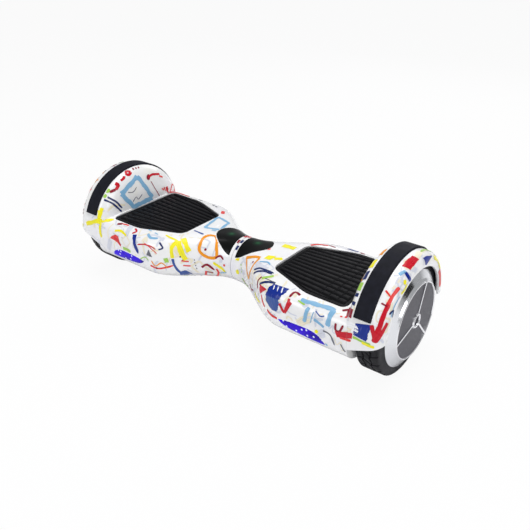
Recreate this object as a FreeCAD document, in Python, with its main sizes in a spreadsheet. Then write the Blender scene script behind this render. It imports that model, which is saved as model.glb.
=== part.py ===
"""Self-balancing two-wheel board: two half bodies that twist about one shaft, each with a hub-motor wheel.

Row frame, millimetres: +X along the board to the right wheel, -Y to the front (the headlight side), +Z up.
The origin is on the floor, midway between the wheels. The right half is modelled, and the left is its
mirror image, apart from the pieces that the halves don't share: the shaft joint, the battery, the
controller and the charging side. The shaft, the axles and the wheels share one axis, along X at the
axle height.
"""

import FreeCAD, Part
import math
import os
import re
import Sketcher
from FreeCAD import Placement, Rotation, Vector

# ---------------------------------------------------------------- driving dimensions
DIMENSIONS = [
    ("axle_height", 82.5, "wheel axis above the floor, and the tyre's radius"),
    ("board_half", 292, "half of the overall length, to the hub trim's face"),
    ("seam_half", 0.5, "half of the gap between the two halves"),
    ("wall", 2.6, "thickness of the moulded covers"),
    ("parting_z", 64, "height of the joint between top and bottom cover"),
    ("waist_half_y", 35.5, "half depth of the covers at the seam"),
    ("waist_top", 114.5, "top of the covers at the seam"),
    ("waist_bottom", 42, "bottom of the covers at the seam"),
    ("deck_half_y", 91.5, "half depth of the covers beside the foot mat"),
    ("deck_top", 112.6, "top of the covers beside the foot mat"),
    ("deck_bottom", 31, "bottom of the covers under the foot mat"),
    ("deck_power", 5.4, "superellipse power of the deck's upper half; the waist's is 2"),
    ("belly_power", 2.6, "superellipse power of the deck's lower half"),
    ("flare_start", 6, "x where the waist begins to widen"),
    ("flare_end", 129, "x where the full depth is reached"),
    ("well_x", 241, "outboard face of the cover's end wall"),
    ("arch_wall", 3, "thickness of the arch round the wheel"),
    ("fender_radius", 93, "outside of the wheel arch"),
    ("fender_low_z", 66, "lower edge of the arch at the end wall"),
    ("fender_rise", 0.44, "rise of the arch's lower edge per mm outboard"),
    ("dome_foot_x", 224, "where the arch's inner dome meets the deck"),
    ("dome_foot_r", 27, "radius about the axle where the dome starts"),
    ("dome_crown_x", 243, "where the dome reaches the arch's radius"),
    ("face_x", 287, "outer face of the arch's lip"),
    ("face_round", 14, "rounding between arch and lip"),
    ("hub_opening", 74, "radius of the opening that shows the hub"),
    ("strip_in", 244, "inboard edge of the arch's rubber strip"),
    ("strip_out", 269, "outboard edge of the strip"),
    ("strip_thick", 2.5, "thickness of the strip"),
    ("strip_sweep", 138.4, "angle that the strip covers"),
    ("mat_top", 111, "top of the foot mat"),
    ("mat_thick", 4.2, "thickness of the foot mat"),
    ("mat_travel", 1.2, "travel of the mat on its foot sensors"),
    ("mat_in", 88, "inboard edge of the mat"),
    ("mat_out", 223, "outboard edge of the mat"),
    ("mat_half_y", 70, "half depth of the mat"),
    ("mat_in_half_y", 44, "half depth of the mat's inboard edge"),
    ("mat_bend_x", 160, "where the mat's long edges start to draw in"),
    ("mat_gap", 0.5, "gap round the mat in its pocket"),
    ("tray_floor", 102.4, "underside of the mat's tray"),
    ("light_x", 170, "centre of the headlight along the board"),
    ("light_z", 64.6, "height of the headlight's centre"),
    ("light_half_z", 7.6, "half height of the headlight"),
    ("light_half", 38, "half length of the headlight, from tip to tip"),
    ("lens_start", 5.5, "inboard end of the indicator lens"),
    ("lens_long", 45, "length of the indicator lens"),
    ("lens_half_y", 31, "half depth of the indicator lens at the seam"),
    ("lens_gap", 0.3, "gap round each lens"),
    ("tyre_in", 246, "inboard side of the tyre"),
    ("tyre_out", 280, "outboard side of the tyre"),
    ("tread_half", 14.5, "half width of the tyre's tread"),
    ("sidewall_radius", 78, "radius where the sidewall meets the shoulder"),
    ("rim_radius", 62, "radius of the rim's barrel"),
    ("rim_lip", 68.5, "radius of the rim's outer lip"),
    ("cap_radius", 53.8, "radius of the hub cap"),
    ("bearing_radius", 17.5, "outside of the wheel bearings"),
    ("axle_radius", 8, "radius of the fixed axle"),
    ("axle_fit", 0.05, "radial clearance of the bearings on the axle"),
    ("shaft_radius", 15, "outside of the centre shaft"),
    ("shaft_bore", 9, "bore of the centre shaft, for the loom"),
    ("bush_radius", 18, "outside of the bushes"),
    ("boss_radius", 24, "outside of the frame's tube"),
    ("boss_end", 66, "outboard end of the frame's tube"),
    ("pin_x", 35, "where the stop pin stands"),
    ("twist_limit", 12, "travel of the stop pin in its slot, each way"),
    ("frame_z", 72, "underside of the frame's plate"),
    ("frame_thick", 6, "thickness of the frame's plate"),
    ("frame_half_y", 52, "half depth of the frame's plate"),
    ("port_x", 176, "charging port along the board"),
    ("button_x", 201, "power button along the board"),
    ("rear_z", 53, "height of the port and the button"),
    ("rear_y", 85.5, "flat face that the port and the button stand on"),
]
MM = {name: float(value) for name, value, note in DIMENSIONS}

doc = FreeCAD.newDocument("board")
sheet = doc.addObject("Spreadsheet::Sheet", "dims")
for row, (alias, value, note) in enumerate(DIMENSIONS, start=1):
    sheet.set(f"A{row}", note)
    sheet.set(f"B{row}", str(value))
    sheet.setAlias(f"B{row}", alias)
doc.recompute()

nodes = {}  # label of each sub-part: its object
ALIASES = re.compile(r"\b(" + "|".join(MM) + r")\b")
ALONG_X = Rotation(Vector(0, 1, 0), 90)
ALONG_Y = Rotation(Vector(1, 0, 0), -90)
UPRIGHT = Rotation()


# ---------------------------------------------------------------- helpers
def bound(expression):
    """An expression with its aliases named in the sheet."""
    return ALIASES.sub(r"dims.\1", str(expression))


probe = doc.addObject("Part::Vertex", "probe")


def value(expression):
    """An expression's number, worked out by the document, for geometry that has no property to bind."""
    probe.setExpression("X", bound(expression))
    probe.recompute()
    return float(probe.X)


def place(shape, x="0", y="0", z="0", turn=UPRIGHT):
    """Puts an object at a bound place."""
    shape.Placement = Placement(Vector(), turn)
    for axis, expression in zip("xyz", (x, y, z)):
        shape.setExpression(f"Placement.Base.{axis}", bound(expression))
    return shape


def rod(name, radius, length, x="0", y="0", z="axle_height", turn=ALONG_X):
    """A cylinder, along X on the wheel axis unless told otherwise."""
    cylinder = doc.addObject("Part::Cylinder", name)
    cylinder.setExpression("Radius", bound(radius))
    cylinder.setExpression("Height", bound(length))
    return place(cylinder, x, y, z, turn)


def block(name, x, y, z):
    """A box between the bound limits (low, high) on each axis."""
    box = doc.addObject("Part::Box", name)
    for size, (low, high) in zip(("Length", "Width", "Height"), (x, y, z)):
        box.setExpression(size, bound(f"({high}) - ({low})"))
    return place(box, x[0], y[0], z[0])


def cut(name, base, *tools):
    """base less the tools."""
    tool = tools[0] if len(tools) == 1 else fuse(name + "Tools", *tools)
    result = doc.addObject("Part::Cut", name)
    result.Base, result.Tool = base, tool
    return result


def fuse(name, *shapes):
    """One solid from several that touch or overlap."""
    result = doc.addObject("Part::MultiFuse", name)
    result.Shapes = list(shapes)
    return result


def common(name, *shapes):
    """What the shapes share."""
    result = doc.addObject("Part::MultiCommon", name)
    result.Shapes = list(shapes)
    return result


def group(name, *shapes):
    """Separate solids that make one node."""
    result = doc.addObject("Part::Compound", name)
    result.Links = list(shapes)
    return result


def feature(name, shape):
    """A sub-part whose shape comes from Part's own functions."""
    made = doc.addObject("Part::Feature", name)
    made.Shape = shape
    return made


def outline(body, plane, points):
    """A closed polygon sketch on one of the body's origin planes, each corner bound to the sheet."""
    sketch = body.newObject("Sketcher::SketchObject", body.Name + "Outline")
    origin = next(o for o in body.Origin.OriginFeatures if o.Role == plane)
    sketch.AttachmentSupport = (origin, "")
    sketch.MapMode = "FlatFace"
    corners = [Vector(value(u), value(v), 0) for u, v in points]
    count = len(corners)
    for i in range(count):
        sketch.addGeometry(Part.LineSegment(corners[i], corners[(i + 1) % count]), False)
    for i in range(count):
        sketch.addConstraint(Sketcher.Constraint("Coincident", i, 2, (i + 1) % count, 1))
    for i, (corner, expressions) in enumerate(zip(corners, points)):
        for kind, size, axis, expression in (
            ("DistanceX", corner.x, -2, expressions[0]),
            ("DistanceY", corner.y, -1, expressions[1]),
        ):
            if str(expression) == "0":
                sketch.addConstraint(Sketcher.Constraint("PointOnObject", i, 1, axis))
            else:
                index = sketch.addConstraint(Sketcher.Constraint(kind, -1, 1, i, 1, size))
                sketch.setExpression(f"Constraints[{index}]", bound(expression))
    return sketch


def lathe(name, points, sweep=None):
    """A body turned about the wheel axis from corners (x, radius)."""
    body = doc.addObject("PartDesign::Body", name)
    sketch = outline(body, "XZ_Plane", points)
    turned = body.newObject("PartDesign::Revolution", name + "Turned")
    turned.Profile = sketch
    turned.ReferenceAxis = (sketch, ["H_Axis"])
    if sweep:
        turned.Midplane = True
        turned.setExpression("Angle", bound(sweep))
    sketch.Visibility = False
    return place(body, z="axle_height")


def prism(name, points, low, high):
    """A body with the outline (x, y), between two heights."""
    body = doc.addObject("PartDesign::Body", name)
    sketch = outline(body, "XY_Plane", points)
    pad = body.newObject("PartDesign::Pad", name + "Pad")
    pad.Profile = sketch
    pad.setExpression("Length", bound(f"({high}) - ({low})"))
    return place(body, z=low)


def soften(body, radius, chosen, name="Soft"):
    """Rounds the edges of a body's tip that chosen(edge's middle, edge) picks."""
    doc.recompute()
    base = body.Tip
    picked = [
        f"Edge{i}" for i, edge in enumerate(base.Shape.Edges, start=1)
        if chosen(edge.valueAt((edge.FirstParameter + edge.LastParameter) / 2), edge)
    ]
    rounding = body.newObject("PartDesign::Fillet", body.Name + name)
    rounding.Base = (base, picked)
    rounding.setExpression("Radius", bound(radius))
    return body


def keep(label, made):
    """Names a sub-part."""
    made.Label = label
    nodes[label] = made
    return made


def keep_both(label, made):
    """Names a right-hand sub-part and mirrors it for the left half."""
    keep(label + "_right", made)
    twin = doc.addObject("Part::Mirroring", made.Name + "Twin")
    twin.Source = made
    twin.Normal = Vector(1, 0, 0)
    twin.Base = Vector(0, 0, 0)
    keep(label + "_left", twin)
    return made


# ---------------------------------------------------------------- outer form of one half
SECTION_POINTS = 64
STATION_STEP = 9.0


def flare(x):
    """0 at the waist, 1 beside the foot mat, with no corner between them."""
    t = min(1.0, max(0.0, (x - MM["flare_start"]) / (MM["flare_end"] - MM["flare_start"])))
    return t * t * (3 - 2 * t)


def section(x, inset):
    """The closed cross-section at x, drawn in by inset: a superellipse, fuller above than below."""
    share = flare(x)
    half_y = MM["waist_half_y"] + (MM["deck_half_y"] - MM["waist_half_y"]) * share - inset
    top = MM["waist_top"] + (MM["deck_top"] - MM["waist_top"]) * share - inset
    bottom = MM["waist_bottom"] + (MM["deck_bottom"] - MM["waist_bottom"]) * share + inset
    power_above = 2 + (MM["deck_power"] - 2) * share
    power_below = 2 + (MM["belly_power"] - 2) * share
    middle, half_z = (top + bottom) / 2, (top - bottom) / 2
    points = []
    for i in range(SECTION_POINTS):
        angle = 2 * math.pi * i / SECTION_POINTS - math.pi / 2
        across, up = math.cos(angle), math.sin(angle)
        power = power_above if up > 0 else power_below
        reach = (abs(across / half_y) ** power + abs(up / half_z) ** power) ** (-1 / power)
        points.append(Vector(x, reach * across, middle + reach * up))
    curve = Part.BSplineCurve()
    spacing = [float(i) for i in range(SECTION_POINTS + 1)]
    curve.interpolate(Points=points, PeriodicFlag=True, Parameters=spacing)
    return Part.Wire(curve.toShape())


def body_form(start, end, inset):
    """The covers' body as a solid, between two stations."""
    count = max(2, math.ceil((end - start) / STATION_STEP))
    stations = [start + (end - start) * i / count for i in range(count + 1)]
    return Part.makeLoft([section(x, inset) for x in stations], True, False)


def dome_form(inset):
    """The wheel arch as a solid of revolution: inner dome, crown and rounded lip."""
    foot_x, foot_r = MM["dome_foot_x"] + inset, MM["dome_foot_r"]
    crown_x, radius = MM["dome_crown_x"], MM["fender_radius"] - inset
    face_x, rounding = MM["face_x"] - inset, MM["face_round"]
    axis_z = MM["axle_height"]

    def at(x, r):
        return Vector(x, 0, axis_z + r)

    bulge = Part.Ellipse(at(crown_x, radius), at(foot_x, foot_r), at(crown_x, foot_r))
    low, high = sorted((bulge.parameter(at(crown_x, radius)), bulge.parameter(at(foot_x, foot_r))))
    if high - low > math.pi:
        low, high = high, low + 2 * math.pi
    turn = math.sqrt(0.5)
    lip = Part.Arc(
        at(face_x - rounding, radius),
        at(face_x - rounding * (1 - turn), radius - rounding * (1 - turn)),
        at(face_x, radius - rounding),
    )
    edges = [
        Part.makeLine(at(foot_x, 0), at(foot_x, foot_r)),
        bulge.toShape(low, high),
        Part.makeLine(at(crown_x, radius), at(face_x - rounding, radius)),
        lip.toShape(),
        Part.makeLine(at(face_x, radius - rounding), at(face_x, 0)),
        Part.makeLine(at(face_x, 0), at(foot_x, 0)),
    ]
    profile = Part.Face(Part.Wire(Part.__sortEdges__(edges)))
    return profile.revolve(Vector(0, 0, axis_z), Vector(1, 0, 0), 360)


def side_prism(points, half_depth=130):
    """A solid with the outline (x, z), right through the board from front to back."""
    corners = [Vector(x, -half_depth, z) for x, z in points]
    wire = Part.makePolygon(corners + corners[:1])
    return Part.Face(wire).extrude(Vector(0, 2 * half_depth, 0))


LIGHT_DEPTH = (-120, -80)


LIGHT_UPPER = ((-1, 0.58), (-0.63, 0.88), (0, 1.05), (0.58, 0.85), (0.87, 0.05), (1, -1))
LIGHT_LOWER = ((1, -1), (0.53, -1.08), (-0.05, -0.9), (-0.61, -0.53), (-0.87, 0), (-1, 0.58))


def light_form(shrink):
    """The headlight's pointed outline, like a slanted leaf, through the front wall, drawn in by shrink."""
    near, far = LIGHT_DEPTH
    reach = MM["light_half"] - 2.5 * shrink
    rise = MM["light_half_z"] - 1.3 * shrink
    edges = []
    for outline in (LIGHT_UPPER, LIGHT_LOWER):
        points = []
        for across, up in outline:
            points.append(Vector(MM["light_x"] + across * reach, near, MM["light_z"] + up * rise))
        curve = Part.BSplineCurve()
        curve.interpolate(points)
        edges.append(curve.toShape())
    return Part.Face(Part.Wire(edges)).extrude(Vector(0, far - near, 0))


def lens_form(grow):
    """The indicator lens's outline, half an ellipse, as a tall prism over the waist."""
    start = MM["lens_start"] - grow
    long_, half_y = MM["lens_long"] + grow, MM["lens_half_y"] + grow
    centre = Vector(start, 0, 88)
    major, minor = max(long_, half_y), min(long_, half_y)
    ellipse = Part.Ellipse(centre, major, minor)
    arc = ellipse.toShape(-math.pi / 2, math.pi / 2)
    chord = Part.makeLine(arc.valueAt(arc.LastParameter), arc.valueAt(arc.FirstParameter))
    return Part.Face(Part.Wire([arc, chord])).extrude(Vector(0, 0, 40))


def tube_z(x, y, low, high, radius):
    """An upright cylinder between two heights."""
    return Part.makeCylinder(radius, high - low, Vector(x, y, low), Vector(0, 0, 1))


# ---------------------------------------------------------------- covers
COVER_SCREWS = [(98, 58), (155, 70), (222, 62)]  # x and |y| of the screws that close the covers
SENSOR_X = (114, 180)  # x of the two foot sensors under each mat
BOSS_RADIUS = 4.6
SEAT_RADIUS = 10.6  # of the round seats for the port and the button


def mat_outline():
    """Corners of the foot mat, clockwise seen from above, as expressions."""
    return [
        ("mat_out", "mat_half_y"), ("mat_out", "-mat_half_y"), ("mat_bend_x", "-mat_half_y"),
        ("mat_in", "-mat_in_half_y"), ("mat_in", "mat_in_half_y"), ("mat_bend_x", "mat_half_y"),
    ]


def mat_body(name, low, high):
    """The mat's outline as a body with its upright corners rounded."""
    body = prism(name, mat_outline(), low, high)

    def upright_at(x_expression):
        wanted = value(x_expression)

        def chosen(middle, edge):
            return abs(middle.x - wanted) < 0.1 and abs(edge.tangentAt(edge.FirstParameter).z) > 0.9

        return chosen

    soften(body, "16", upright_at("mat_in"), "Inner")
    soften(body, "70", upright_at("mat_bend_x"), "Bend")
    return soften(body, "9", upright_at("mat_out"), "Outer")


def mat_prism(low, high, grow):
    """The mat's rounded outline grown by an offset, as a tray or a pocket."""
    base = min(mat_pattern.Shape.Faces, key=lambda face: face.CenterOfMass.z)
    wire = base.OuterWire.makeOffset2D(grow)
    wire.translate(Vector(0, 0, low - base.CenterOfMass.z))
    return Part.Face(wire).extrude(Vector(0, 0, high - low))


mat_pattern = mat_body("MatPattern", "mat_top - mat_thick", "mat_top")
doc.recompute()

wheel_side = side_prism([
    (MM["well_x"], -20), (MM["well_x"], MM["fender_low_z"]),
    (310, MM["fender_low_z"] + (310 - MM["well_x"]) * MM["fender_rise"]), (310, -20),
])
below_dome = side_prism([
    (200, -20), (200, MM["fender_low_z"]), (MM["well_x"], MM["fender_low_z"]),
    (310, MM["fender_low_z"] + (310 - MM["well_x"]) * MM["fender_rise"]), (310, -20),
])
outer_form = body_form(MM["seam_half"], MM["well_x"] + 9, 0).cut(wheel_side)
outer_form = outer_form.fuse(dome_form(0).cut(below_dome)).removeSplitter()


CREASE_ROUND = 7.0


def crease(shape):
    """The edges where the deck runs into the arch's dome, one to the front and one to the back."""
    boxes = [edge.BoundBox for edge in shape.Edges]
    low, high = MM["dome_foot_x"] - 0.5, MM["dome_crown_x"] + 0.5
    wide = MM["mat_half_y"]
    return [
        edge for edge, box in zip(shape.Edges, boxes)
        if low < box.XMin < low + 1 and box.XMax < high and box.YLength > wide
    ]


def filleted(shape, radius):
    """The outer form with the deck blended into the dome, or as it is where the blend can't be made."""
    try:
        rounded = shape.makeFillet(radius, crease(shape))
        if rounded.isValid() and abs(rounded.Volume - shape.Volume) < 0.01 * shape.Volume:
            return rounded
    except Part.OCCError:
        pass
    print("the deck's crease stays sharp")
    return shape


outer_form = filleted(outer_form, CREASE_ROUND)
wall_x = MM["well_x"] - MM["wall"]
inner_end = side_prism([(wall_x, -20), (wall_x, 220), (320, 220), (320, -20)])
hollow_form = body_form(-6, wall_x, MM["wall"]).fuse(
    dome_form(MM["wall"]).cut(below_dome).cut(inner_end)
)
wheel_axis = (Vector(MM["well_x"], 0, MM["axle_height"]), Vector(1, 0, 0))
outboard = side_prism([(MM["well_x"], -40), (MM["well_x"], 240), (320, 240), (320, -40)])
well_form = dome_form(MM["arch_wall"]).common(outboard)
well_form = well_form.fuse(Part.makeCylinder(MM["hub_opening"], 80, *wheel_axis))
cover_form = outer_form.cut(hollow_form).cut(well_form)

parting = MM["parting_z"]
above_parting = side_prism([(-20, parting), (-20, 240), (320, 240), (320, parting)])
below_parting = side_prism([(-20, parting), (-20, -20), (320, -20), (320, parting)])
mirrored_y = (1, -1)


def top_cover():
    """Upper shell of one half, with its arch, mat tray, screw bosses and openings."""
    shell = cover_form.common(above_parting)
    pocket_floor = MM["mat_top"] - MM["mat_thick"] - MM["mat_travel"] - 0.3
    shell = shell.fuse(mat_prism(MM["tray_floor"], MM["deck_top"] - 2.5, 3).common(outer_form))
    for x, y in COVER_SCREWS:
        for side in mirrored_y:
            boss = tube_z(x, side * y, parting, MM["deck_top"], BOSS_RADIUS).common(outer_form)
            shell = shell.fuse(boss).cut(tube_z(x, side * y, parting - 1, parting + 16, 1.9))
    shell = shell.cut(mat_prism(pocket_floor, 140, MM["mat_gap"]))
    for x in SENSOR_X:
        shell = shell.cut(tube_z(x, 0, 90, 120, 7))
    axle_notch = Part.makeCylinder(13, 12, Vector(MM["well_x"] - 8, 0, MM["axle_height"]), Vector(1, 0, 0))
    slot = Part.makeBox(12, 26, MM["axle_height"] - parting + 1, Vector(MM["well_x"] - 8, -13, parting - 1))
    return shell.cut(axle_notch).cut(slot).cut(light_form(0)).cut(lens_form(0))


def bottom_cover(rear_ports):
    """Lower shell of one half, with counterbored screw bosses, and seats for the port and the button."""
    shell = cover_form.common(below_parting)
    for x, y in COVER_SCREWS:
        for side in mirrored_y:
            shell = shell.fuse(tube_z(x, side * y, 20, parting, 6).common(outer_form))
            shell = shell.cut(tube_z(x, side * y, 10, 46, 4.1)).cut(tube_z(x, side * y, 10, 70, 2.1))
    if rear_ports:
        back = Vector(0, 1, 0)
        for x in (MM["port_x"], MM["button_x"]):
            start, seat = Vector(x, 66, MM["rear_z"]), Vector(x, MM["rear_y"], MM["rear_z"])
            shell = shell.fuse(Part.makeCylinder(SEAT_RADIUS, MM["rear_y"] - 66, start, back))
            shell = shell.cut(Part.makeCylinder(SEAT_RADIUS, 20, seat, back))
            shell = shell.cut(Part.makeCylinder(7.6, 60, start - Vector(0, 10, 0), back))
    return shell.cut(light_form(0))


def mirror_x(shape):
    """The left-hand image of a right-hand shape."""
    return shape.mirror(Vector(0, 0, 0), Vector(1, 0, 0))


keep_both("top_cover", feature("TopCover", top_cover()))
keep("bottom_cover_right", feature("BottomCoverRight", bottom_cover(True)))
keep("bottom_cover_left", feature("BottomCoverLeft", mirror_x(bottom_cover(False))))
keep_both("headlight_lens", feature(
    "HeadlightLens", light_form(MM["lens_gap"]).common(outer_form).cut(hollow_form)
))
keep_both("indicator_lens", feature(
    "IndicatorLens", lens_form(-MM["lens_gap"]).common(outer_form).cut(hollow_form)
))


def cover_screws():
    """The self-tapping screws that hold the bottom cover of one half to its top cover."""
    screws = []
    for i, (x, y) in enumerate(COVER_SCREWS):
        for j, side in enumerate(("", "-")):
            head = rod(f"ScrewHead{i}{j}", "3.6", "2.4", x, f"{side}{y}", "43.6", UPRIGHT)
            shank = rod(f"ScrewShank{i}{j}", "1.8", "parting_z - 34", x, f"{side}{y}", "46", UPRIGHT)
            screws.append(fuse(f"Screw{i}{j}", head, shank))
    return group("CoverScrews", *screws)


keep_both("cover_screws", cover_screws())

# ---------------------------------------------------------------- arch strip and foot mat
strip = lathe("FenderStrip", [
    ("strip_in", "fender_radius"), ("strip_in + 1.4", "fender_radius + strip_thick"),
    ("strip_out - 1.4", "fender_radius + strip_thick"), ("strip_out", "fender_radius"),
], sweep="strip_sweep")
keep_both("fender_strip", strip)

RIB_PITCH = 11.0
GROOVE_COUNT = 12
GROOVE_WIDTH = 5.0
GROOVE_DEPTH = 1.8
PLUNGER_END = 99.0  # lower end of the mat's plungers
PLUNGER_GAP = 1.6  # above the sensors' stems, a little more than the mat's travel


def foot_mat():
    """The mat: a border round ribs that run along the board, and two plungers for the sensors."""
    grooves = []
    for i in range(GROOVE_COUNT):
        middle = (i - (GROOVE_COUNT - 1) / 2) * RIB_PITCH
        grooves.append(Part.makeBox(
            400, GROOVE_WIDTH, GROOVE_DEPTH + 1,
            Vector(0, middle - GROOVE_WIDTH / 2, MM["mat_top"] - GROOVE_DEPTH),
        ))
    field = mat_prism(MM["mat_top"] - 3, MM["mat_top"] + 2, -9)
    cutters = Part.makeCompound(grooves).common(field)
    mat = mat_pattern.Shape.cut(cutters)
    for x in SENSOR_X:
        mat = mat.fuse(tube_z(x, 0, PLUNGER_END, MM["mat_top"] - MM["mat_thick"] + 0.2, 5))
    return mat


keep_both("foot_mat", feature("FootMat", foot_mat()))

# ---------------------------------------------------------------- cast frames and the twist joint
SHAFT_END = "boss_end + 4"
SADDLE_IN, SADDLE_OUT = 205, 236
CLAMP_SCREWS = [(211, 15), (230, 15)]


RAIL_SPANS = [("-frame_half_y", "5 - frame_half_y"), ("frame_half_y - 5", "frame_half_y")]


def frame(name, bore, slotted):
    """The cast frame of one half: plate, side rails, shaft tube and axle saddle."""
    plate = prism(name + "Plate", [
        ("40", "20"), ("40", "-20"), ("70", "-frame_half_y"), ("208", "-frame_half_y"),
        ("208", "frame_half_y"), ("70", "frame_half_y"),
    ], "frame_z", "frame_z + frame_thick")
    rails = [
        block(name + f"Rail{i}", ("70", "208"), (low, high), ("frame_z - 9", "frame_z + 10"))
        for i, (low, high) in enumerate(RAIL_SPANS)
    ]
    tube = rod(name + "Tube", "boss_radius", "boss_end - 4", x="4")
    saddle = block(
        name + "Saddle", (SADDLE_IN, SADDLE_OUT), ("-22", "22"), ("parting_z + 2", "axle_height - 0.25")
    )
    neck = block(name + "Neck", ("196", "214"), ("-22", "22"), ("frame_z - 6", "frame_z + frame_thick"))
    cast = fuse(name + "Cast", plate, *rails, tube, saddle, neck)
    tools = [
        rod(name + "Bore", bore, "boss_end + 10", x="-4"),
        rod(name + "Relief", "boss_radius - 3", "28", x="boss_end"),
        rod(name + "Groove", "axle_radius", "60", x="198"),
    ]
    for i, (x, y) in enumerate(CLAMP_SCREWS):
        for j, side in enumerate(("", "-")):
            tools.append(rod(name + f"Tap{i}{j}", "2.6", "30", x, f"{side}{y}", "parting_z", UPRIGHT))
    if slotted:
        tools.append(block(
            name + "Slot", ("pin_x - 3.4", "pin_x + 3.4"), ("-8.7", "8.7"),
            ("axle_height + shaft_bore", "axle_height + 40"),
        ))
    return cut(name, cast, *tools)


def handed(made, label):
    """The left-hand image of an object, as a sub-part of its own."""
    twin = doc.addObject("Part::Mirroring", made.Name + "Twin")
    twin.Source = made
    twin.Normal = Vector(1, 0, 0)
    return keep(label, twin)


keep("frame_right", frame("FrameRight", "bush_radius", True))
handed(frame("FrameLeft", "shaft_radius", False), "frame_left")

shaft_body = lathe("CentreShaft", [
    ("-boss_end", "shaft_bore"), (SHAFT_END, "shaft_bore"), (SHAFT_END, "shaft_radius"),
    ("boss_end + 2.2", "shaft_radius"), ("boss_end + 2.2", "shaft_radius - 1"),
    ("boss_end + 0.6", "shaft_radius - 1"), ("boss_end + 0.6", "shaft_radius"),
    ("-boss_end", "shaft_radius"),
])
pin_z = "axle_height + shaft_bore + 1"
shaft_hole = rod("PinHole", "3", "20", "pin_x", "0", pin_z, UPRIGHT)
keep("centre_shaft", cut("Shaft", shaft_body, shaft_hole))
keep("stop_pin", rod("StopPin", "3", "boss_radius - shaft_bore - 1.5", "pin_x", "0", pin_z, UPRIGHT))


def bush(name, start):
    """A plain bush between the shaft and the right-hand frame."""
    sleeve = rod(name + "Sleeve", "bush_radius", "20", x=start)
    return cut(name, sleeve, rod(name + "Hole", "shaft_radius + axle_fit", "40", x=f"{start} - 10"))


keep("shaft_bushes", group("ShaftBushes", bush("InnerBush", "5"), bush("OuterBush", "boss_end - 21")))


def circlip():
    """The ring that holds the shaft in the right-hand frame, open at the bottom."""
    ring = lathe("CirclipRing", [
        ("boss_end + 0.7", "shaft_radius - 0.9"), ("boss_end + 2.1", "shaft_radius - 0.9"),
        ("boss_end + 2.1", "shaft_radius + 4"), ("boss_end + 0.7", "shaft_radius + 4"),
    ])
    below = ("axle_height - 30", "axle_height")
    gap = block("CirclipGap", ("boss_end - 1", "boss_end + 4"), ("-3", "3"), below)
    return cut("Circlip", ring, gap)


keep("shaft_circlip", circlip())


def axle_clamp():
    """The cap that holds the axle down in the frame's saddle."""
    heights = ("axle_height + 0.25", "axle_height + 11.5")
    cap = block("ClampCap", (SADDLE_IN + 1, SADDLE_OUT - 1), ("-22", "22"), heights)
    tools = [rod("ClampGroove", "axle_radius", "60", x="198")]
    for i, (x, y) in enumerate(CLAMP_SCREWS):
        for j, side in enumerate(("", "-")):
            tools.append(rod(f"ClampHole{i}{j}", "2.8", "40", x, f"{side}{y}", "parting_z", UPRIGHT))
    return cut("AxleClamp", cap, *tools)


keep_both("axle_clamp", axle_clamp())


def clamp_screws():
    """Four socket-head screws through the axle clamp."""
    screws = []
    for i, (x, y) in enumerate(CLAMP_SCREWS):
        for j, side in enumerate(("", "-")):
            at = (x, f"{side}{y}")
            head = rod(f"ClampHead{i}{j}", "4.2", "4.4", *at, "axle_height + 11.5", UPRIGHT)
            shank = rod(f"ClampShank{i}{j}", "2.5", "26", *at, "axle_height + 11.5 - 26", UPRIGHT)
            socket = rod(f"ClampSocket{i}{j}", "2", "3", *at, "axle_height + 13.4", UPRIGHT)
            screws.append(cut(f"ClampScrew{i}{j}", fuse(f"ClampBolt{i}{j}", head, shank), socket))
    return group("ClampScrews", *screws)


keep_both("clamp_screws", clamp_screws())

# ---------------------------------------------------------------- hub motor and wheel
MOTOR_MIDDLE = 265.0
TEETH = 27
MAGNETS = 30
STAR_ANGLES = (72, 192, 312)  # directions of the trim's spokes about the axle, from +Y towards +Z

tyre = lathe("Tyre", [
    ("tyre_in", "rim_radius"), ("tyre_in", "sidewall_radius"),
    ("(tyre_in + tyre_out) / 2 - tread_half", "axle_height"),
    ("(tyre_in + tyre_out) / 2 + tread_half", "axle_height"),
    ("tyre_out", "sidewall_radius"), ("tyre_out", "rim_radius"),
])
soften(tyre, "4", lambda middle, edge: edge.BoundBox.ZLength > 2 * MM["sidewall_radius"] - 1)
keep_both("tyre", tyre)

rim = lathe("Rim", [
    ("tyre_in - 2.5", "rim_radius - 4.5"), ("tyre_in - 2.5", "rim_radius + 4"),
    ("tyre_in", "rim_radius + 4"),
    ("tyre_in", "rim_radius"), ("tyre_out", "rim_radius"), ("tyre_out", "rim_lip"),
    ("tyre_out + 2", "rim_lip"), ("board_half - 4.5", "cap_radius + 4.5"),
    ("board_half - 2", "cap_radius + 1.7"), ("board_half - 2", "cap_radius + 0.2"),
    ("board_half - 3.5", "cap_radius + 0.2"), ("board_half - 3.5", "0"),
    ("board_half - 7", "0"), ("board_half - 7", "bearing_radius"), ("board_half - 19", "bearing_radius"),
    ("board_half - 19", "bearing_radius + 4.5"), ("board_half - 9", "bearing_radius + 4.5"),
    ("board_half - 9", "rim_radius - 4.5"),
])
keep_both("rim", rim)
keep_both("motor_end_cover", lathe("MotorEndCover", [
    ("tyre_in - 2", "axle_radius + 1.5"), ("tyre_in - 2", "rim_radius - 4.5"),
    ("tyre_in + 2", "rim_radius - 4.5"),
    ("tyre_in + 2", "bearing_radius + 4.5"), ("tyre_in + 12", "bearing_radius + 4.5"),
    ("tyre_in + 12", "bearing_radius"), ("tyre_in + 1", "bearing_radius"),
    ("tyre_in + 1", "axle_radius + 1.5"),
]))


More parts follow.
